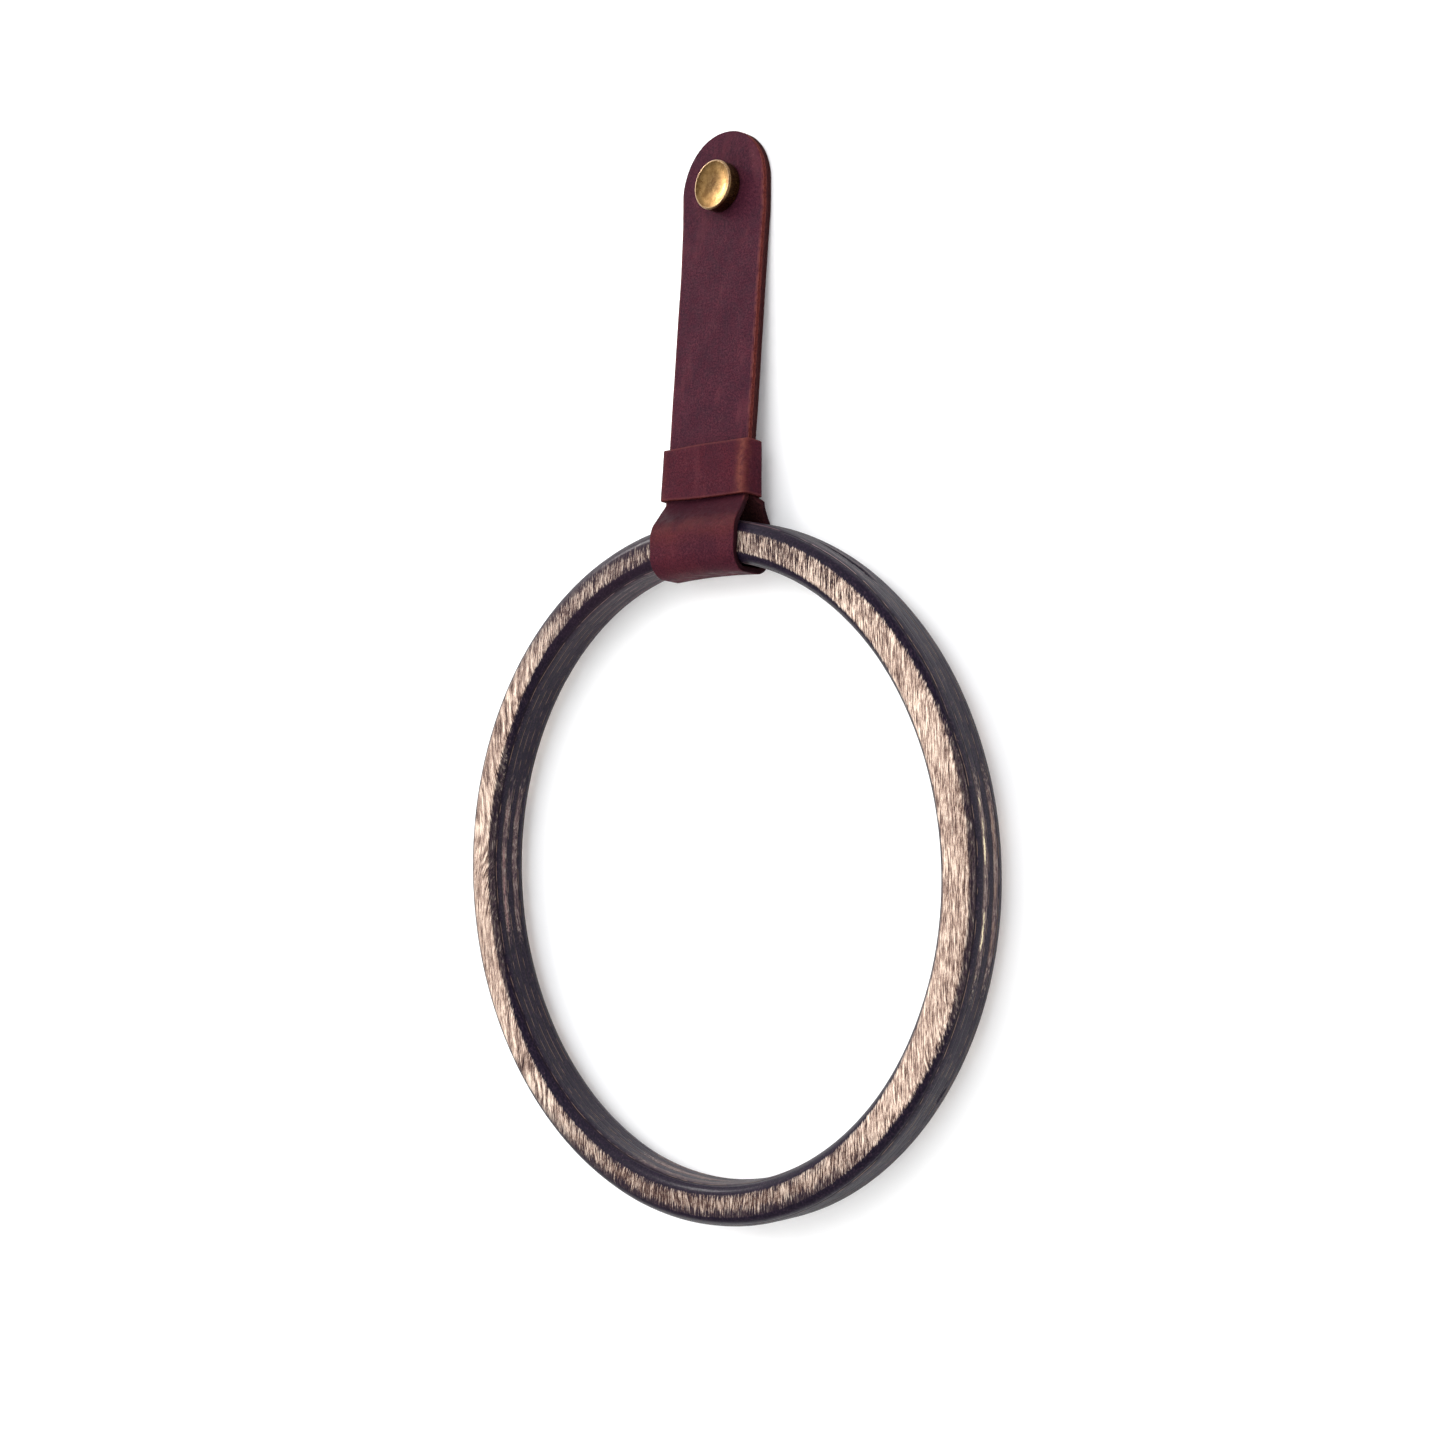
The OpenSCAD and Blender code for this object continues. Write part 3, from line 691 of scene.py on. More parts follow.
class Mat:
    def __init__(self, name):
        self.m = bpy.data.materials.new(name)
        self.m.use_nodes = True
        self.t = self.m.node_tree
        self.t.nodes.clear()
        self.out = self.n("ShaderNodeOutputMaterial")
        self.b = self.n("ShaderNodeBsdfPrincipled")
        self.t.links.new(self.b.outputs[0], self.out.inputs[0])

    def n(self, kind, **kw):
        node = self.t.nodes.new(kind)
        for k, v in kw.items():
            setattr(node, k, v)
        return node

    def put(self, sock, v):
        if isinstance(v, bpy.types.NodeSocket):
            self.t.links.new(v, sock)
        elif v is not None:
            sock.default_value = v

    def bsdf(self, **kw):
        for k, v in kw.items():
            self.put(self.b.inputs[k.replace("_", " ")], v)

    def math(self, op, a, b=None, c=None, clamp=False):
        node = self.n("ShaderNodeMath", operation=op, use_clamp=clamp)
        for i, v in enumerate((a, b, c)):
            self.put(node.inputs[i], v)
        return node.outputs[0]

    def add(self, a, b):
        return self.math("ADD", a, b)

    def mul(self, a, b):
        return self.math("MULTIPLY", a, b)

    def vec(self, op, a, b=None, scale=None):
        node = self.n("ShaderNodeVectorMath", operation=op)
        self.put(node.inputs[0], a)
        self.put(node.inputs[1], b)
        if scale is not None:
            self.put(node.inputs["Scale"], scale)
        return node.outputs[1] if op in ("DOT_PRODUCT", "LENGTH", "DISTANCE") else node.outputs[0]

    def _noise(self, v, scale, detail, rough, dist):
        node = self.n("ShaderNodeTexNoise", noise_dimensions="3D")
        self.put(node.inputs["Vector"], v)
        node.inputs["Scale"].default_value = scale
        node.inputs["Detail"].default_value = detail
        node.inputs["Roughness"].default_value = rough
        node.inputs["Distortion"].default_value = dist
        return node

    def noise(self, v, scale, detail=2.0, rough=0.5, dist=0.0):
        return self._noise(v, scale, detail, rough, dist).outputs[0]

    def noisec(self, v, scale, detail=2.0, rough=0.5, dist=0.0):
        return self._noise(v, scale, detail, rough, dist).outputs[1]

    def vor(self, v, scale, feature="F1", out="Distance", rnd=1.0):
        node = self.n("ShaderNodeTexVoronoi", feature=feature)
        self.put(node.inputs["Vector"], v)
        node.inputs["Scale"].default_value = scale
        node.inputs["Randomness"].default_value = rnd
        return node.outputs[out]

    def fit(self, x, lo, hi, a=0.0, b=1.0, smooth_=True):
        node = self.n("ShaderNodeMapRange", interpolation_type="SMOOTHSTEP" if smooth_ else "LINEAR")
        for key, v in (("Value", x), ("From Min", lo), ("From Max", hi), ("To Min", a), ("To Max", b)):
            self.put(node.inputs[key], v)
        return node.outputs[0]

    def mix(self, f, a, b, mode="MIX"):
        node = self.n("ShaderNodeMix", data_type="RGBA", blend_type=mode)
        self.put(node.inputs[0], f)
        self.put(node.inputs[6], a)
        self.put(node.inputs[7], b)
        return node.outputs[2]

    def mixv(self, f, a, b):
        node = self.n("ShaderNodeMix", data_type="VECTOR")
        self.put(node.inputs[0], f)
        self.put(node.inputs[4], a)
        self.put(node.inputs[5], b)
        return node.outputs[1]

    def mixf(self, f, a, b):
        node = self.n("ShaderNodeMix", data_type="FLOAT")
        self.put(node.inputs[0], f)
        self.put(node.inputs[2], a)
        self.put(node.inputs[3], b)
        return node.outputs[0]

    def sep(self, v):
        return self.n_out("ShaderNodeSeparateXYZ", v)

    def n_out(self, kind, v):
        node = self.n(kind)
        self.put(node.inputs[0], v)
        return node.outputs

    def comb(self, x, y, z):
        node = self.n("ShaderNodeCombineXYZ")
        for i, v in enumerate((x, y, z)):
            self.put(node.inputs[i], v)
        return node.outputs[0]

    def ramp(self, x, stops):
        node = self.n("ShaderNodeValToRGB")
        el = node.color_ramp.elements
        while len(el) < len(stops):
            el.new(0.5)
        for e_, (p, c) in zip(el, stops):
            e_.position, e_.color = p, c
        self.put(node.inputs[0], x)
        return node.outputs[0]

    def attr(self, name):
        node = self.n("ShaderNodeAttribute", attribute_name=name)
        return node.outputs["Vector"], node.outputs["Fac"]

    def bump(self, height, dist, strength=1.0, normal=None):
        node = self.n("ShaderNodeBump")
        self.put(node.inputs["Height"], height)
        node.inputs["Distance"].default_value = dist * MM
        node.inputs["Strength"].default_value = strength
        self.put(node.inputs["Normal"], normal)
        return node.outputs[0]

    def place_mm(self):
        tc = self.n("ShaderNodeTexCoord")
        return self.vec("SCALE", tc.outputs["Object"], scale=1000.0)


def wood():
    M = Mat("stained_plywood")
    P = M.place_mm()
    x, y, z = M.sep(P)[0:3]
    wob = M.mul(M.math("SUBTRACT", M.noise(P, 0.045, 2.0), 0.5), 1.1)
    t = M.math("DIVIDE", M.math("SUBTRACT", M.add(y, wob), RING_Y0), PLY)
    t = M.math("MINIMUM", M.math("MAXIMUM", t, 0.02), PLIES - 0.02)
    ply = M.math("FLOOR", t)
    fr = M.math("SUBTRACT", t, ply)
    is_x = M.math("MODULO", ply, 2.0)
    tint = M.n("ShaderNodeTexWhiteNoise", noise_dimensions="1D")
    M.put(tint.inputs["W"], M.add(ply, 3.0))
    tint = tint.outputs["Value"]

    geo = M.n("ShaderNodeNewGeometry")
    tr = M.n("ShaderNodeVectorTransform", vector_type="NORMAL", convert_from="WORLD", convert_to="OBJECT")
    M.put(tr.inputs[0], geo.outputs["Normal"])
    nx, ny, nz = M.sep(M.vec("NORMALIZE", tr.outputs[0]))[0:3]
    a = M.math("ABSOLUTE", M.mixf(is_x, nz, nx))
    end = M.fit(a, 0.06, 0.56)

    # grain-aligned coordinates: third component runs along the grain
    shift = M.mul(ply, 41.7)
    A = M.mixv(is_x, M.comb(x, M.add(y, shift), z), M.comb(M.add(z, shift), y, x))
    w1 = M.vec("SUBTRACT", M.noisec(A, 0.024, 2.0, 0.5), (0.5, 0.5, 0.5))
    w2 = M.vec("SUBTRACT", M.noisec(A, 0.11, 1.0, 0.5), (0.5, 0.5, 0.5))
    # the grain runs straight on one half of the sheet and swirls on the other
    swirl = M.fit(x, 55.0, -55.0, 0.20, 0.85)
    q = M.vec("ADD", A, M.vec("SCALE", M.vec("MULTIPLY", w1, (20.0, 0.0, 6.0)), scale=swirl))
    q = M.vec("ADD", q, M.vec("SCALE", M.vec("MULTIPLY", w2, (1.6, 0.0, 1.0)), scale=swirl))
    sa = M.noise(M.vec("MULTIPLY", q, (2.5, 1.3, 0.17)), 1.0, 3.0, 0.66)
    sb = M.noise(M.vec("ADD", M.vec("MULTIPLY", q, (3.3, 1.7, 0.26)), (31.7, 4.1, 9.3)), 1.0, 2.0, 0.6)
    s1 = M.add(M.mul(sa, 0.62), M.mul(sb, 0.38))
    s2 = M.noise(M.vec("MULTIPLY", q, (6.2, 2.4, 0.55)), 1.0, 2.0, 0.62)
    s3 = M.noise(M.vec("MULTIPLY", q, (6.5, 3.0, 2.6)), 1.0, 2.0, 0.6)
    # growth figure of a peeled veneer: contour lines of a slow field
    field = M.noise(M.vec("MULTIPLY", q, (0.05, 0.05, 0.018)), 1.0, 1.0, 0.4)
    fig = M.math("SINE", M.mul(field, 95.0))
    figm = M.fit(M.noise(P, 0.02, 1.0), 0.45, 0.62)
    slow = M.noise(P, 0.06, 2.0, 0.6)
    f = M.add(M.mul(s1, 0.70), M.mul(s2, 0.30))
    f = M.add(f, M.mul(M.mul(fig, figm), M.mul(swirl, 0.055)))
    f = M.add(f, M.mul(M.math("SUBTRACT", slow, 0.5), 0.10))
    f = M.add(f, M.mul(M.math("SUBTRACT", tint, 0.5), 0.04))
    f = M.add(f, M.mul(M.math("SUBTRACT", s3, 0.5), 0.15))
    # strokes stand out more where they cross the ring
    f = M.add(0.5, M.mul(M.math("SUBTRACT", f, 0.5), M.fit(M.math("ABSOLUTE", M.math("SUBTRACT", z, RING_Z)), 50.0, 90.0, 1.0, 2.1)))
    # painted sheen: the veneer is painted brighter where its grain runs along the ring and darker where it crosses, the
    # chatoyance of the wood painted in
    cross = M.fit(M.math("ABSOLUTE", M.math("SUBTRACT", z, RING_Z)), 62.0, 97.0)
    f = M.add(f, M.mul(M.math("SUBTRACT", 0.47, cross), 0.080))
    long_col = M.ramp(M.fit(f, 0.385, 0.645, smooth_=False), [
        (0.00, rgb(26, 17, 24)), (0.22, rgb(56, 40, 42)), (0.44, rgb(104, 82, 73)),
        (0.62, rgb(154, 129, 117)), (0.80, rgb(198, 174, 157)), (1.00, rgb(240, 220, 202))])
    # inner plies take more stain than the faces
    inner = M.mul(M.fit(t, 0.9, 1.1), M.fit(t, 6.1, 5.9))
    long_col = M.mix(M.mul(inner, 0.30), long_col, rgb(72, 52, 46))
    wire = M.mul(M.math("SUBTRACT", M.noise(P, 0.75, 3.0, 0.7), 0.5), 0.50)
    third = M.fit(M.math("ABSOLUTE", M.math("ADD", M.math("SUBTRACT", t, 2.42), wire)), 0.19, 0.07)
    bore = M.math("SQRT", M.add(M.mul(x, x), M.mul(M.math("SUBTRACT", z, RING_Z), M.math("SUBTRACT", z, RING_Z))))
    on_out = M.fit(bore, RING_R - RING_W / 2 - 1.0, RING_R - RING_W / 2 + 1.0)
    long_col = M.mix(M.mul(inner, 0.66), long_col, rgb(54, 42, 56))
    third_col = M.mix(on_out, rgb(140, 106, 102), rgb(234, 218, 178))
    long_col = M.mix(M.mul(third, M.fit(M.noise(P, 0.12, 3.0, 0.7), 0.44, 0.58, 0.04, 0.9)), long_col, third_col)
    fifth = M.fit(M.math("ABSOLUTE", M.math("ADD", M.math("SUBTRACT", t, 4.40), M.mul(wire, 0.5))), 0.24, 0.10)
    long_col = M.mix(M.mul(fifth, M.fit(M.noise(P, 0.17, 3.0, 0.7), 0.42, 0.60, 0.05, 0.55)), long_col, M.mix(on_out, rgb(104, 84, 84), rgb(140, 114, 96)))
    # end grain: open pores drink the stain and go nearly black, with a violet cast
    pores = M.vor(M.vec("MULTIPLY", A, (2.6, 2.6, 1.0)), 1.0)
    e1 = M.noise(M.vec("MULTIPLY", A, (1.6, 2.4, 0.8)), 1.0, 3.0, 0.6)
    end_col = M.ramp(e1, [(0.30, rgb(14, 10, 23)), (0.50, rgb(26, 19, 35)), (0.66, rgb(46, 34, 47)), (0.84, rgb(92, 70, 66))])
    end_col = M.mix(M.mul(M.fit(pores, 0.22, 0.05), 0.6), end_col, rgb(16, 12, 22))
    # the rim between the two is ragged, following the strokes
    rag = M.add(end, M.mul(M.math("SUBTRACT", s1, 0.5), -1.1))
    e = M.fit(rag, 0.10, 0.48)
    # stain gathers on the sanded round-overs of both faces
    on_left = M.fit(x, -45.0, -85.0)
    lean_ = M.fit(M.math("ABSOLUTE", ny), M.mixf(on_out, 0.975, M.mixf(on_left, 0.945, 0.990)), M.mixf(on_out, 0.80, M.mixf(on_left, 0.72, 0.90)))
    face_ply = M.math("MAXIMUM", M.fit(t, 1.7, 1.1), M.fit(t, 5.3, 5.9))
    rim = M.fit(M.add(lean_, M.mul(M.math("SUBTRACT", s1, 0.5), -1.8)), 0.25, 0.95)
    e = M.math("MAXIMUM", e, M.mul(M.mul(rim, face_ply), 0.90))
    # where the grain crosses the ring only a ragged strip in the middle of the face stays pale
    mid_off = M.add(M.math("SUBTRACT", bore, RING_R - RING_W / 2 - 0.6), M.mul(M.math("SUBTRACT", M.noise(P, 0.22, 3.0, 0.7), 0.5), 4.5))
    strip = M.fit(M.add(M.math("ABSOLUTE", mid_off), M.mul(M.math("SUBTRACT", sb, 0.5), -8.0)), 0.9, 2.3)
    near_top = M.mul(M.fit(M.math("SUBTRACT", z, RING_Z), 48.0, 88.0), M.fit(x, 0.0, -20.0))
    at_foot = M.fit(M.math("SUBTRACT", RING_Z, z), 60.0, 88.0)
    across_ = M.math("MAXIMUM", at_foot, near_top)
    e = M.math("MAXIMUM", e, M.mul(M.mul(M.mul(strip, across_), face_ply), 0.90))
    col = M.mix(e, long_col, end_col)
    # glue lines
    g = M.math("MINIMUM", fr, M.math("SUBTRACT", 1.0, fr))
    mask = M.mul(M.fit(t, 0.5, 0.6), M.fit(t, 6.5, 6.4))
    gl = M.mul(M.fit(g, 0.11, 0.03), M.mul(mask, M.fit(M.noise(P, 0.5, 2.0), 0.3, 0.5, 0.45, 1.0)))
    col = M.mix(M.mul(gl, 0.85), col, rgb(26, 19, 24))
    # painted highlight: a thin pale line beside some glue lines, stronger and pinker near the crown of the ring,
    # standing in for light caught along the ply edges
    crown = M.fit(M.math("SUBTRACT", z, RING_Z), 66.0, 90.0)
    ply_edge_highlight = M.mul(M.mul(M.fit(M.math("ABSOLUTE", M.math("SUBTRACT", fr, 0.16)), M.mixf(crown, 0.05, 0.09), 0.015), M.mul(mask, e)), M.fit(M.noise(P, 0.23, 2.0), M.mixf(crown, 0.42, 0.34), M.mixf(crown, 0.60, 0.50)))
    col = M.mix(M.mul(ply_edge_highlight, M.mixf(crown, 0.55, 0.75)), col, M.mix(crown, rgb(150, 124, 104), rgb(152, 124, 128)))
    # painted sheen: the top and bottom of the ring, where the grain crosses it, are painted darker
    col = M.mix(M.mul(cross, 0.24), col, rgb(30, 20, 32))
    col = M.mix(M.mul(near_top, 0.30), col, rgb(52, 34, 44))
    col = M.mix(M.mul(M.mul(at_foot, M.math("SUBTRACT", 1.0, e)), 0.24), col, rgb(92, 66, 54))
    # hairline cracks in the deepest strokes
    deep = M.fit(s1, 0.36, 0.30)
    col = M.mix(M.mul(deep, 0.5), col, rgb(34, 25, 28))
    h = M.add(M.mul(s1, 0.9), M.mul(s2, 0.5))
    nrm = M.bump(h, 0.05, 0.55)
    nrm = M.bump(M.math("SUBTRACT", 1.0, gl), 0.06, 0.7, nrm)
    rough = M.mixf(e, M.fit(f, 0.4, 0.65, 0.34, 0.44), 0.38)
    # painted shade: the turning edges, where the surface is seen at a grazing angle, are painted dark, the face plies
    # darker still
    lw = M.n("ShaderNodeLayerWeight")
    lw.inputs["Blend"].default_value = 0.5
    graze = lw.outputs["Facing"]
    col = M.mix(M.fit(graze, 0.72, 0.94, 0.0, 0.72), col, rgb(20, 14, 20))
    col = M.mix(M.mul(M.fit(graze, 0.46, 0.80, 0.0, 0.75), face_ply), col, rgb(28, 20, 28))
    M.bsdf(Base_Color=col, Roughness=rough, Normal=nrm, Coat_Weight=M.fit(graze, 0.55, 0.90, 0.12, 0.02), Coat_Roughness=0.15, Coat_IOR=1.46, Coat_Normal=M.bump(h, 0.04, 0.5))
    M.put(M.b.inputs["Specular IOR Level"], M.fit(graze, 0.55, 0.90, 0.10, 0.02))
    return M.m


def hide(name, base, red, seed, is_keeper=False):
    """Waxy pull-up leather: grain side mottled and scuffed, flesh side fibrous, raw edges orange-brown."""
    M = Mat(name)
    L, _ = M.attr("lay")
    lx, ls, lh = M.sep(L)[0:3]
    _, edge = M.attr("edge")
    _, flesh = M.attr("flesh")
    _, bend = M.attr("bend")
    p = M.comb(M.add(lx, seed), ls, M.mul(lh, 1.0))
    flat = M.comb(M.add(lx, seed), ls, 0.0)
    big = M.noise(flat, 0.07, 3.0, 0.55)
    midn = M.noise(flat, 0.35, 3.0, 0.6)
    fine = M.noise(flat, 2.1, 3.0, 0.65)
    col = M.mix(M.fit(big, 0.35, 0.65), base[0], base[1])
    if not is_keeper:
        # redder, warmer towards the fold that carries the ring
        to_loop = M.fit(M.math("ABSOLUTE", M.math("SUBTRACT", ls, S_MID)), 62.0, 20.0)
        col = M.mix(to_loop, col, M.mix(M.fit(big, 0.35, 0.65), red[0], red[1]))
    col = M.mix(M.fit(midn, 0.40, 0.66, 0.0, 0.34), col, base[2])
    col = M.mix(M.fit(fine, 0.36, 0.60, 0.70, 0.0), col, base[3])
    col = M.mix(M.fit(M.noise(flat, 1.3, 4.0, 0.75), 0.50, 0.70, 0.0, 0.55), col, base[2])
    speck = M.noise(flat, 1.25, 4.0, 0.85)
    patchy = M.fit(M.noise(flat, 0.11, 2.0, 0.6), 0.35, 0.65, 0.35, 1.0)
    col = M.mix(M.mul(M.fit(speck, 0.50, 0.64, 0.0, 0.24), patchy), col, rgb(112, 60, 68))
    col = M.mix(M.mul(M.fit(speck, 0.50, 0.36, 0.0, 0.34), patchy), col, rgb(32, 13, 23))
    # slow change of depth in the dye, streaked along the strip
    tone = M.noise(M.vec("MULTIPLY", flat, (0.11, 0.045, 1.0)), 1.0, 3.0, 0.6)
    col = M.mix(M.fit(tone, 0.52, 0.70, 0.0, 0.22), col, rgb(104, 50, 56))
    col = M.mix(M.fit(tone, 0.48, 0.32, 0.0, 0.26), col, rgb(44, 17, 30))
    if not is_keeper:
        # painted shadow: the leg between keeper and ring is painted darker just under the keeper
        keeper_shadow = M.fit(M.math("ABSOLUTE", M.math("SUBTRACT", ls, S_MID - 25.0)), 9.0, 4.0)
        col = M.mix(M.mul(keeper_shadow, 0.42), col, rgb(30, 10, 18))
    # pull-up: lighter and more orange where the leather is bent outwards
    if is_keeper:
        _, fold = M.attr("fold")
        pull = M.mul(fold, M.fit(M.noise(flat, 0.5, 3.0, 0.6), 0.34, 0.62, 0.35, 1.0))
        col = M.mix(M.mul(pull, 0.44), col, rgb(128, 72, 56))
        rimw = M.fit(M.math("ABSOLUTE", ls), KEEP_H / 2 - 0.9, KEEP_H / 2 - 0.15)
        col = M.mix(M.mul(rimw, 0.34), col, rgb(104, 54, 50))
    else:
        top = M.fit(M.math("ABSOLUTE", M.math("SUBTRACT", ls, S_MID - 17.5)), 5.2, 0.6)
        pull = M.mul(top, M.fit(M.noise(flat, 0.28, 3.0, 0.6), 0.32, 0.62, 0.3, 1.0))
        col = M.mix(M.mul(pull, 0.16), col, rgb(114, 54, 36))
        rimw = M.fit(M.math("ABSOLUTE", lx), STRAP_W / 2 - 1.1, STRAP_W / 2 - 0.2)
        off_loop = M.fit(M.math("ABSOLUTE", M.math("SUBTRACT", ls, S_MID)), 22.0, 34.0)
        col = M.mix(M.mul(M.mul(rimw, off_loop), M.fit(M.noise(flat, 0.4, 2.0), 0.35, 0.6, 0.10, 0.45)), col, rgb(118, 64, 58))
    # scuffs and short scratches
    sc = M.noise(M.vec("MULTIPLY", M.vec("ADD", flat, M.vec("SCALE", M.noisec(flat, 0.2, 1.0), scale=6.0)), (0.55, 5.0, 1.0)), 1.0, 2.0, 0.7)
    scuff = M.mul(M.fit(sc, 0.66, 0.76), M.fit(M.noise(flat, 0.09, 2.0), 0.48, 0.62))
    col = M.mix(M.mul(scuff, 0.38), col, rgb(142, 92, 88))
    sc2 = M.noise(M.vec("MULTIPLY", flat, (6.0, 0.5, 1.0)), 1.0, 2.0, 0.7)
    col = M.mix(M.mul(M.fit(sc2, 0.68, 0.78), 0.22), col, rgb(60, 32, 44))
    # flesh side
    fib = M.noise(M.vec("MULTIPLY", flat, (1.8, 1.1, 1.0)), 1.0, 4.0, 0.7, 0.6)
    fl = M.ramp(fib, [(0.3, rgb(42, 22, 28)), (0.55, rgb(70, 38, 40)), (0.75, rgb(104, 64, 56))])
    col = M.mix(flesh, col, fl)
    # raw edge: layered fibres
    ev = M.noise(M.vec("MULTIPLY", p, (1.3, 1.3, 5.5)), 1.0, 4.0, 0.7)
    ec = M.ramp(ev, [(0.28, rgb(36, 16, 20)), (0.46, rgb(76, 32, 32)), (0.62, rgb(104, 48, 40)), (0.80, rgb(150, 88, 66))])
    dye = M.fit(M.math("ABSOLUTE", lh), 0.34 if not is_keeper else 0.22, 0.8 if not is_keeper else 0.55)
    ec = M.mix(M.mul(dye, 0.6), ec, rgb(66, 28, 32))
    if not is_keeper:
        lip = M.fit(M.math("ABSOLUTE", M.math("SUBTRACT", M.math("ABSOLUTE", lh), 0.66)), 0.16, 0.03)
        ec = M.mix(M.mul(lip, M.fit(M.noise(p, 0.5, 3.0, 0.6), 0.36, 0.60, 0.10, 0.55)), ec, rgb(146, 86, 80))
        spots = M.fit(M.noise(M.vec("MULTIPLY", p, (1.0, 0.9, 2.2)), 1.0, 3.0, 0.7), 0.56, 0.68)
        ec = M.mix(M.mul(spots, 0.70), ec, rgb(44, 14, 24))
        # painted shadow: the cut edge of the back leaf, in shade between strap and wall, is painted near black
        ec = M.mix(M.fit(M.math("SUBTRACT", ls, S_MID), 26.0, 34.0, 0.0, 0.80), ec, rgb(34, 17, 20))
        # the edges of the fold are dyed dark, and painted darker still for the shade they lie in
        ec = M.mix(M.fit(M.math("ABSOLUTE", M.math("SUBTRACT", ls, S_MID)), 36.0, 26.0, 0.0, 0.95), ec, rgb(34, 13, 20))
    col = M.mix(M.fit(edge, 0.35, 0.95), col, ec)
    # grain: soft cells, pores
    cells = M.vor(flat, 1.25, feature="SMOOTH_F1")
    pores = M.vor(flat, 2.3)
    pore = M.fit(pores, 0.16, 0.04)
    nrm = M.bump(cells, 0.05, 0.32)
    nrm = M.bump(fine, 0.05, 0.35, nrm)
    nrm = M.bump(M.math("SUBTRACT", 1.0, pore), 0.03, 0.4, nrm)
    nrm2 = M.bump(M.add(M.mul(fib, flesh), M.mul(ev, edge)), 0.16, 0.7, nrm)
    rough = M.fit(midn, 0.35, 0.65, 0.50, 0.66)
    rough = M.mixf(M.math("MAXIMUM", flesh, M.fit(edge, 0.3, 0.9)), rough, 0.85)
    M.bsdf(Base_Color=col, Roughness=rough, Normal=nrm2)
    M.b.inputs["Specular IOR Level"].default_value = 0.035
    M.b.inputs["Sheen Weight"].default_value = 0.0
    M.b.inputs["Sheen Roughness"].default_value = 0.5
    return M.m


def brass(name, light, dark, polish, grime_and_dark_side):
    M = Mat(name)
    P = M.place_mm()
    x, y, z = M.sep(P)[0:3]
    r = M.math("SQRT", M.add(M.mul(x, x), M.mul(z, z)))
    n1 = M.noise(P, 0.45, 4.0, 0.6)
    n2 = M.noise(P, 2.4, 4.0, 0.7)
    col = M.mix(M.fit(n1, 0.34, 0.66), light, dark)
    # grime sits in the corner of the dish and the side is painted darker, the lip is rubbed bright
    ring_ = M.mul(M.fit(r, CAP_R - 2.6, CAP_R - 0.85), M.fit(r, CAP_R - 0.45, CAP_R - 0.7))
    lip = M.mul(M.fit(r, CAP_R - 0.62, CAP_R - 0.45), M.fit(y, CAP_Y0 + 0.5, CAP_Y0 + 0.25))
    side = M.fit(y, CAP_Y0 + 0.25, CAP_Y0 + 0.9)
    patina_and_dark_side = M.mul(M.math("MAXIMUM", M.mul(ring_, 0.45), side), M.fit(n2, 0.30, 0.62, 0.6, 1.0))
    col = M.mix(M.mul(patina_and_dark_side, grime_and_dark_side), col, rgb(50, 34, 24))
    col = M.mix(M.mul(lip, 0.4), col, rgb(222, 190, 160))
    spots = M.fit(M.noise(P, 5.5, 2.0, 0.6), 0.60, 0.74)
    col = M.mix(M.mul(spots, 0.35), col, rgb(104, 70, 36))
    scr = M.noise(M.vec("MULTIPLY", P, (7.0, 1.0, 0.8)), 1.0, 2.0, 0.7)
    rough = M.add(M.fit(n2, 0.3, 0.7, polish, polish + 0.14), M.mul(spots, 0.15))
    rough = M.add(rough, M.mul(patina_and_dark_side, 0.16))
    nrm = M.bump(M.add(n2, M.mul(scr, 0.4)), 0.03, 0.35)
    M.bsdf(Base_Color=col, Metallic=1.0, Roughness=rough, Normal=nrm)
    return M.m


def steel():
    M = Mat("yellow_zinc_steel")
    P = M.place_mm()
    n1 = M.noise(P, 0.6, 3.0, 0.6)
    n2 = M.noise(P, 3.5, 3.0, 0.7)
    col = M.mix(M.fit(n1, 0.35, 0.65), rgb(214, 196, 140), rgb(196, 168, 120))
    col = M.mix(M.fit(n2, 0.55, 0.75, 0.0, 0.5), col, rgb(160, 150, 168))
    M.bsdf(Base_Color=col, Metallic=1.0, Roughness=M.fit(n2, 0.3, 0.7, 0.24, 0.42), Normal=M.bump(n2, 0.02, 0.4))
    return M.m


def nylon():
    M = Mat("grey_nylon")
    P = M.place_mm()
    n1 = M.noise(P, 0.8, 3.0, 0.6)
    n2 = M.noise(P, 5.0, 2.0, 0.6)
    col = M.mix(M.fit(n1, 0.35, 0.65), rgb(196, 193, 186), rgb(176, 173, 166))
    col = M.mix(M.fit(n2, 0.6, 0.75, 0.0, 0.4), col, rgb(150, 147, 140))
    M.bsdf(Base_Color=col, Roughness=M.fit(n1, 0.3, 0.7, 0.42, 0.58), Normal=M.bump(n2, 0.04, 0.5))
    M.b.inputs["Subsurface Weight"].default_value = 0.05
    M.b.inputs["Subsurface Scale"].default_value = 0.001
    return M.m


def thread():
    M = Mat("waxed_thread")
    P = M.place_mm()
    n1 = M.noise(P, 3.0, 3.0, 0.6)
    n2 = M.noise(M.vec("MULTIPLY", P, (3.0, 9.0, 9.0)), 1.0, 3.0, 0.7)
    col = M.mix(M.fit(n2, 0.35, 0.65), rgb(64, 38, 42), rgb(104, 66, 62))
    col = M.mix(M.fit(n1, 0.5, 0.7, 0.0, 0.5), col, rgb(128, 88, 78))
    M.bsdf(Base_Color=col, Roughness=M.fit(n1, 0.3, 0.7, 0.5, 0.75), Normal=M.bump(n2, 0.05, 0.6))
    return M.m


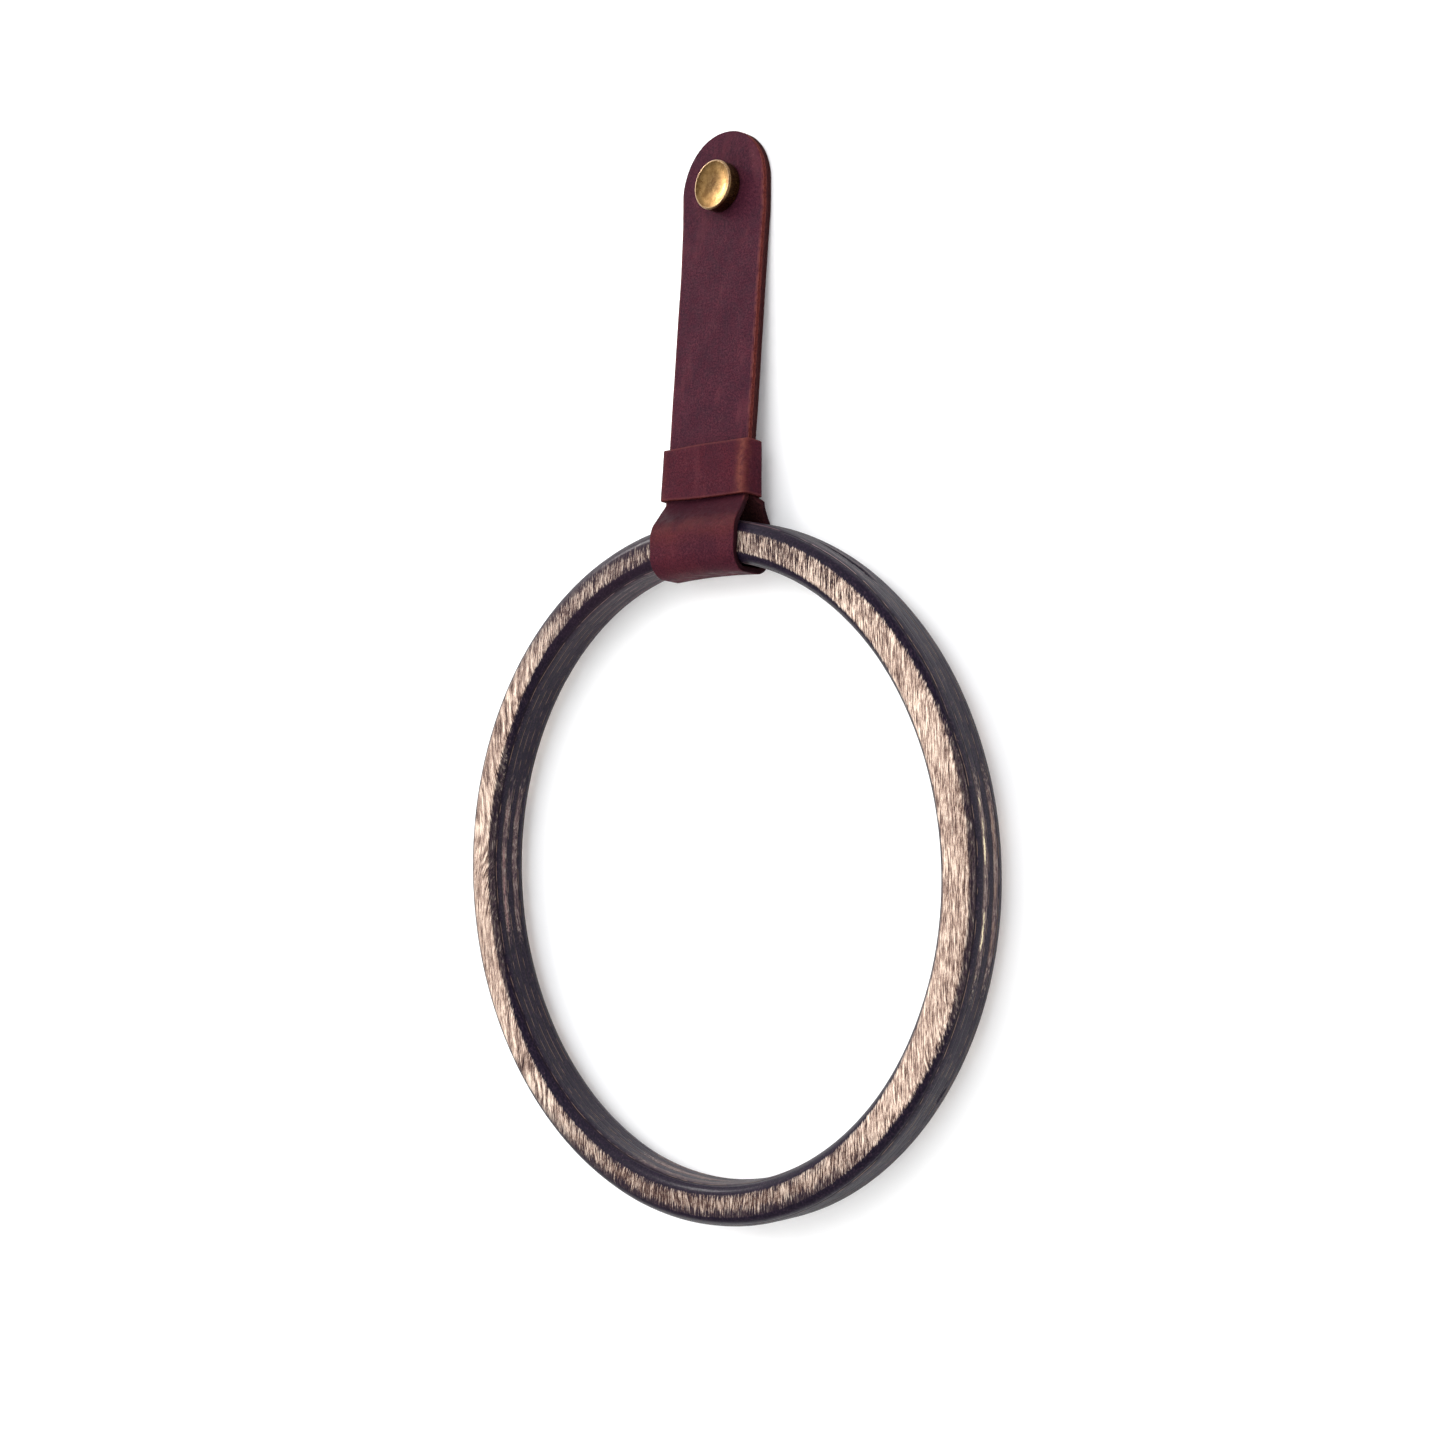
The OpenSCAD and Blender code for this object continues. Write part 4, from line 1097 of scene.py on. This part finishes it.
def wall_paint(name, col_a, col_b, scale, glow=0.0):
    M = Mat(name)
    tc = M.n("ShaderNodeTexCoord").outputs["Object"]
    n1 = M.noise(tc, scale, 3.0, 0.5)
    n2 = M.noise(tc, scale * 60, 3.0, 0.6)
    M.bsdf(Base_Color=M.mix(n1, col_a, col_b), Roughness=0.85, Normal=M.bump(n2, 0.15, 0.08))
    M.b.inputs["Specular IOR Level"].default_value = 0.2
    M.b.inputs["Emission Color"].default_value = (0.97, 0.98, 1.0, 1.0)
    M.b.inputs["Emission Strength"].default_value = glow
    return M.m


def dress(ob, mat):
    ob.data.materials.clear()
    ob.data.materials.append(mat)


UP = (rgb(66, 28, 42), rgb(55, 22, 37), rgb(77, 35, 46), rgb(36, 13, 24))
RED = (rgb(75, 28, 37), rgb(62, 23, 35))
KEEP = (rgb(69, 22, 35), rgb(58, 18, 32), rgb(78, 31, 38), rgb(40, 12, 23))
dress(ring_ob, wood())
dress(strap_ob, hide("oxblood_leather", UP, RED, 0.0))
dress(keeper_ob, hide("oxblood_leather_keeper", KEEP, RED, 63.0, True))
dress(stitch_ob, thread())
dress(cap_ob, brass("antique_brass", rgb(196, 154, 98), rgb(150, 112, 66), 0.24, 0.9))
dress(seat_ob, brass("turned_brass", rgb(222, 184, 110), rgb(204, 160, 86), 0.22, 0.30))
dress(screw_ob, steel())
dress(plug_ob, nylon())

# ---------------------------------------------------------------- pieces on the frame
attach(ring_ob, "ring")
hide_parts("ring")
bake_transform(strap_ob)
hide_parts("strap", "strap_loop")
for ob, body, node, slot_ in ((keeper_ob, "keeper", "keeper", "keeper_leather"), (stitch_ob, "keeper", "keeper_thread", "thread"),
                              (cap_ob, "cap", "cap", "brass"), (seat_ob, "wall_fixing", "cap_seat", "seat_brass"),
                              (screw_ob, "wall_fixing", "screw", "zinc_steel"), (plug_ob, "wall_fixing", "wall_plug", "nylon")):
    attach(ob, body)
    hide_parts(node)

# ---------------------------------------------------------------- stage
def plane(name, verts):
    me = bpy.data.meshes.new(name)
    me.from_pydata(verts, [], [(0, 1, 2, 3)])
    me.update()
    ob = bpy.data.objects.new(name, me)
    bpy.context.scene.collection.objects.link(ob)
    return ob


wall = plane("stage_wall", [(-4, 0.0002, -1.3), (4, 0.0002, -1.3), (4, 0.0002, 2.6), (-4, 0.0002, 2.6)])
dress(wall, wall_paint("white_paint", rgb(250, 250, 250), rgb(246, 246, 247), 1.5, 0.10))
floor = plane("stage_floor", [(-5, -5, -1.3), (5, -5, -1.3), (5, 5, -1.3), (-5, 5, -1.3)])
dress(floor, wall_paint("pale_floor", rgb(240, 239, 236), rgb(235, 233, 230), 2.0, 0.10))
floor.visible_glossy = False

cam_data = bpy.data.cameras.new("camera")
cam = bpy.data.objects.new("camera", cam_data)
bpy.context.scene.collection.objects.link(cam)
cam_data.sensor_fit = "AUTO"
cam_data.sensor_width = 36.0
cam_data.lens = 1852.0 / 1445.0 * 36.0
cam_data.clip_start, cam_data.clip_end = 0.01, 50.0
M3 = Matrix.Rotation(math.radians(43.89), 3, "Z") @ Matrix.Rotation(math.radians(2.58), 3, "X") @ Matrix.Rotation(math.radians(-0.19), 3, "Y")
right, ahead, up_ = M3.col[0], M3.col[1], M3.col[2]
R = Matrix((right, up_, -ahead)).transposed()
cam.matrix_world = Matrix.Translation((0.3736, -0.3911, -0.1820)) @ R.to_4x4()
bpy.context.scene.camera = cam

# the wall is left out of pictures taken from beside or behind it
drv = wall.driver_add("hide_render").driver
drv.type = "SCRIPTED"
var = drv.variables.new()
var.name = "cy"
var.type = "TRANSFORMS"
var.targets[0].id = cam
var.targets[0].transform_type = "LOC_Y"
var.targets[0].transform_space = "WORLD_SPACE"
drv.expression = "cy > -0.05"


def area(name, loc, target, size, power, color=(1, 1, 1), size_y=None):
    d = bpy.data.lights.new(name, "AREA")
    d.shape = "RECTANGLE"
    d.size, d.size_y = size, size_y or size
    d.energy, d.color = power, color
    ob = bpy.data.objects.new(name, d)
    bpy.context.scene.collection.objects.link(ob)
    ob.location = loc
    ob.rotation_mode = "QUATERNION"
    ob.rotation_quaternion = (Vector(target) - Vector(loc)).to_track_quat("-Z", "Y")
    return ob


key = area("window", (-1.45, -1.15, 0.80), (0, 0, -0.15), 1.7, 38.0, (1.0, 0.985, 0.965))
fill = area("front_fill", (0.3, -2.2, 1.2), (0, 0, -0.15), 2.0, 22.0, (0.97, 0.98, 1.0))
glint = area("window_glint", (-1.572, -0.871, 0.877), (0, 0, -0.02), 0.36, 11.0, (1.0, 0.98, 0.95), 0.36)
key.visible_glossy = False
fill.visible_glossy = False
glint.visible_diffuse = False

world = bpy.data.worlds.new("studio")
bpy.context.scene.world = world
world.use_nodes = True
wt = world.node_tree
wt.nodes.clear()
wo = wt.nodes.new("ShaderNodeOutputWorld")
bg = wt.nodes.new("ShaderNodeBackground")
tc = wt.nodes.new("ShaderNodeTexCoord")
dot = wt.nodes.new("ShaderNodeVectorMath")
dot.operation = "DOT_PRODUCT"
dot.inputs[1].default_value = Vector((-0.70, -0.25, 0.55)).normalized()
wt.links.new(tc.outputs["Generated"], dot.inputs[0])
mr = wt.nodes.new("ShaderNodeMapRange")
mr.inputs["From Min"].default_value = -1.0
mr.inputs["From Max"].default_value = 1.0
mr.inputs["To Min"].default_value = 0.76
mr.inputs["To Max"].default_value = 1.20
wt.links.new(dot.outputs["Value"], mr.inputs["Value"])
# mirror-like surfaces see a dimmer room than the wall does, lit from the left
gl = wt.nodes.new("ShaderNodeMapRange")
gl.interpolation_type = "SMOOTHSTEP"
gl.inputs["From Min"].default_value = 0.35
gl.inputs["From Max"].default_value = 1.0
gl.inputs["To Min"].default_value = 0.06
gl.inputs["To Max"].default_value = 0.72
wt.links.new(dot.outputs["Value"], gl.inputs["Value"])
lp = wt.nodes.new("ShaderNodeLightPath")
sel = wt.nodes.new("ShaderNodeMix")
sel.data_type = "FLOAT"
wt.links.new(lp.outputs["Is Glossy Ray"], sel.inputs[0])
wt.links.new(mr.outputs[0], sel.inputs[2])
wt.links.new(gl.outputs[0], sel.inputs[3])
wt.links.new(sel.outputs[0], bg.inputs["Strength"])
bg.inputs["Color"].default_value = (0.98, 0.99, 1.0, 1.0)
wt.links.new(bg.outputs[0], wo.inputs[0])

bpy.context.scene.view_settings.view_transform = "Standard"
bpy.context.scene.view_settings.exposure = 0.0
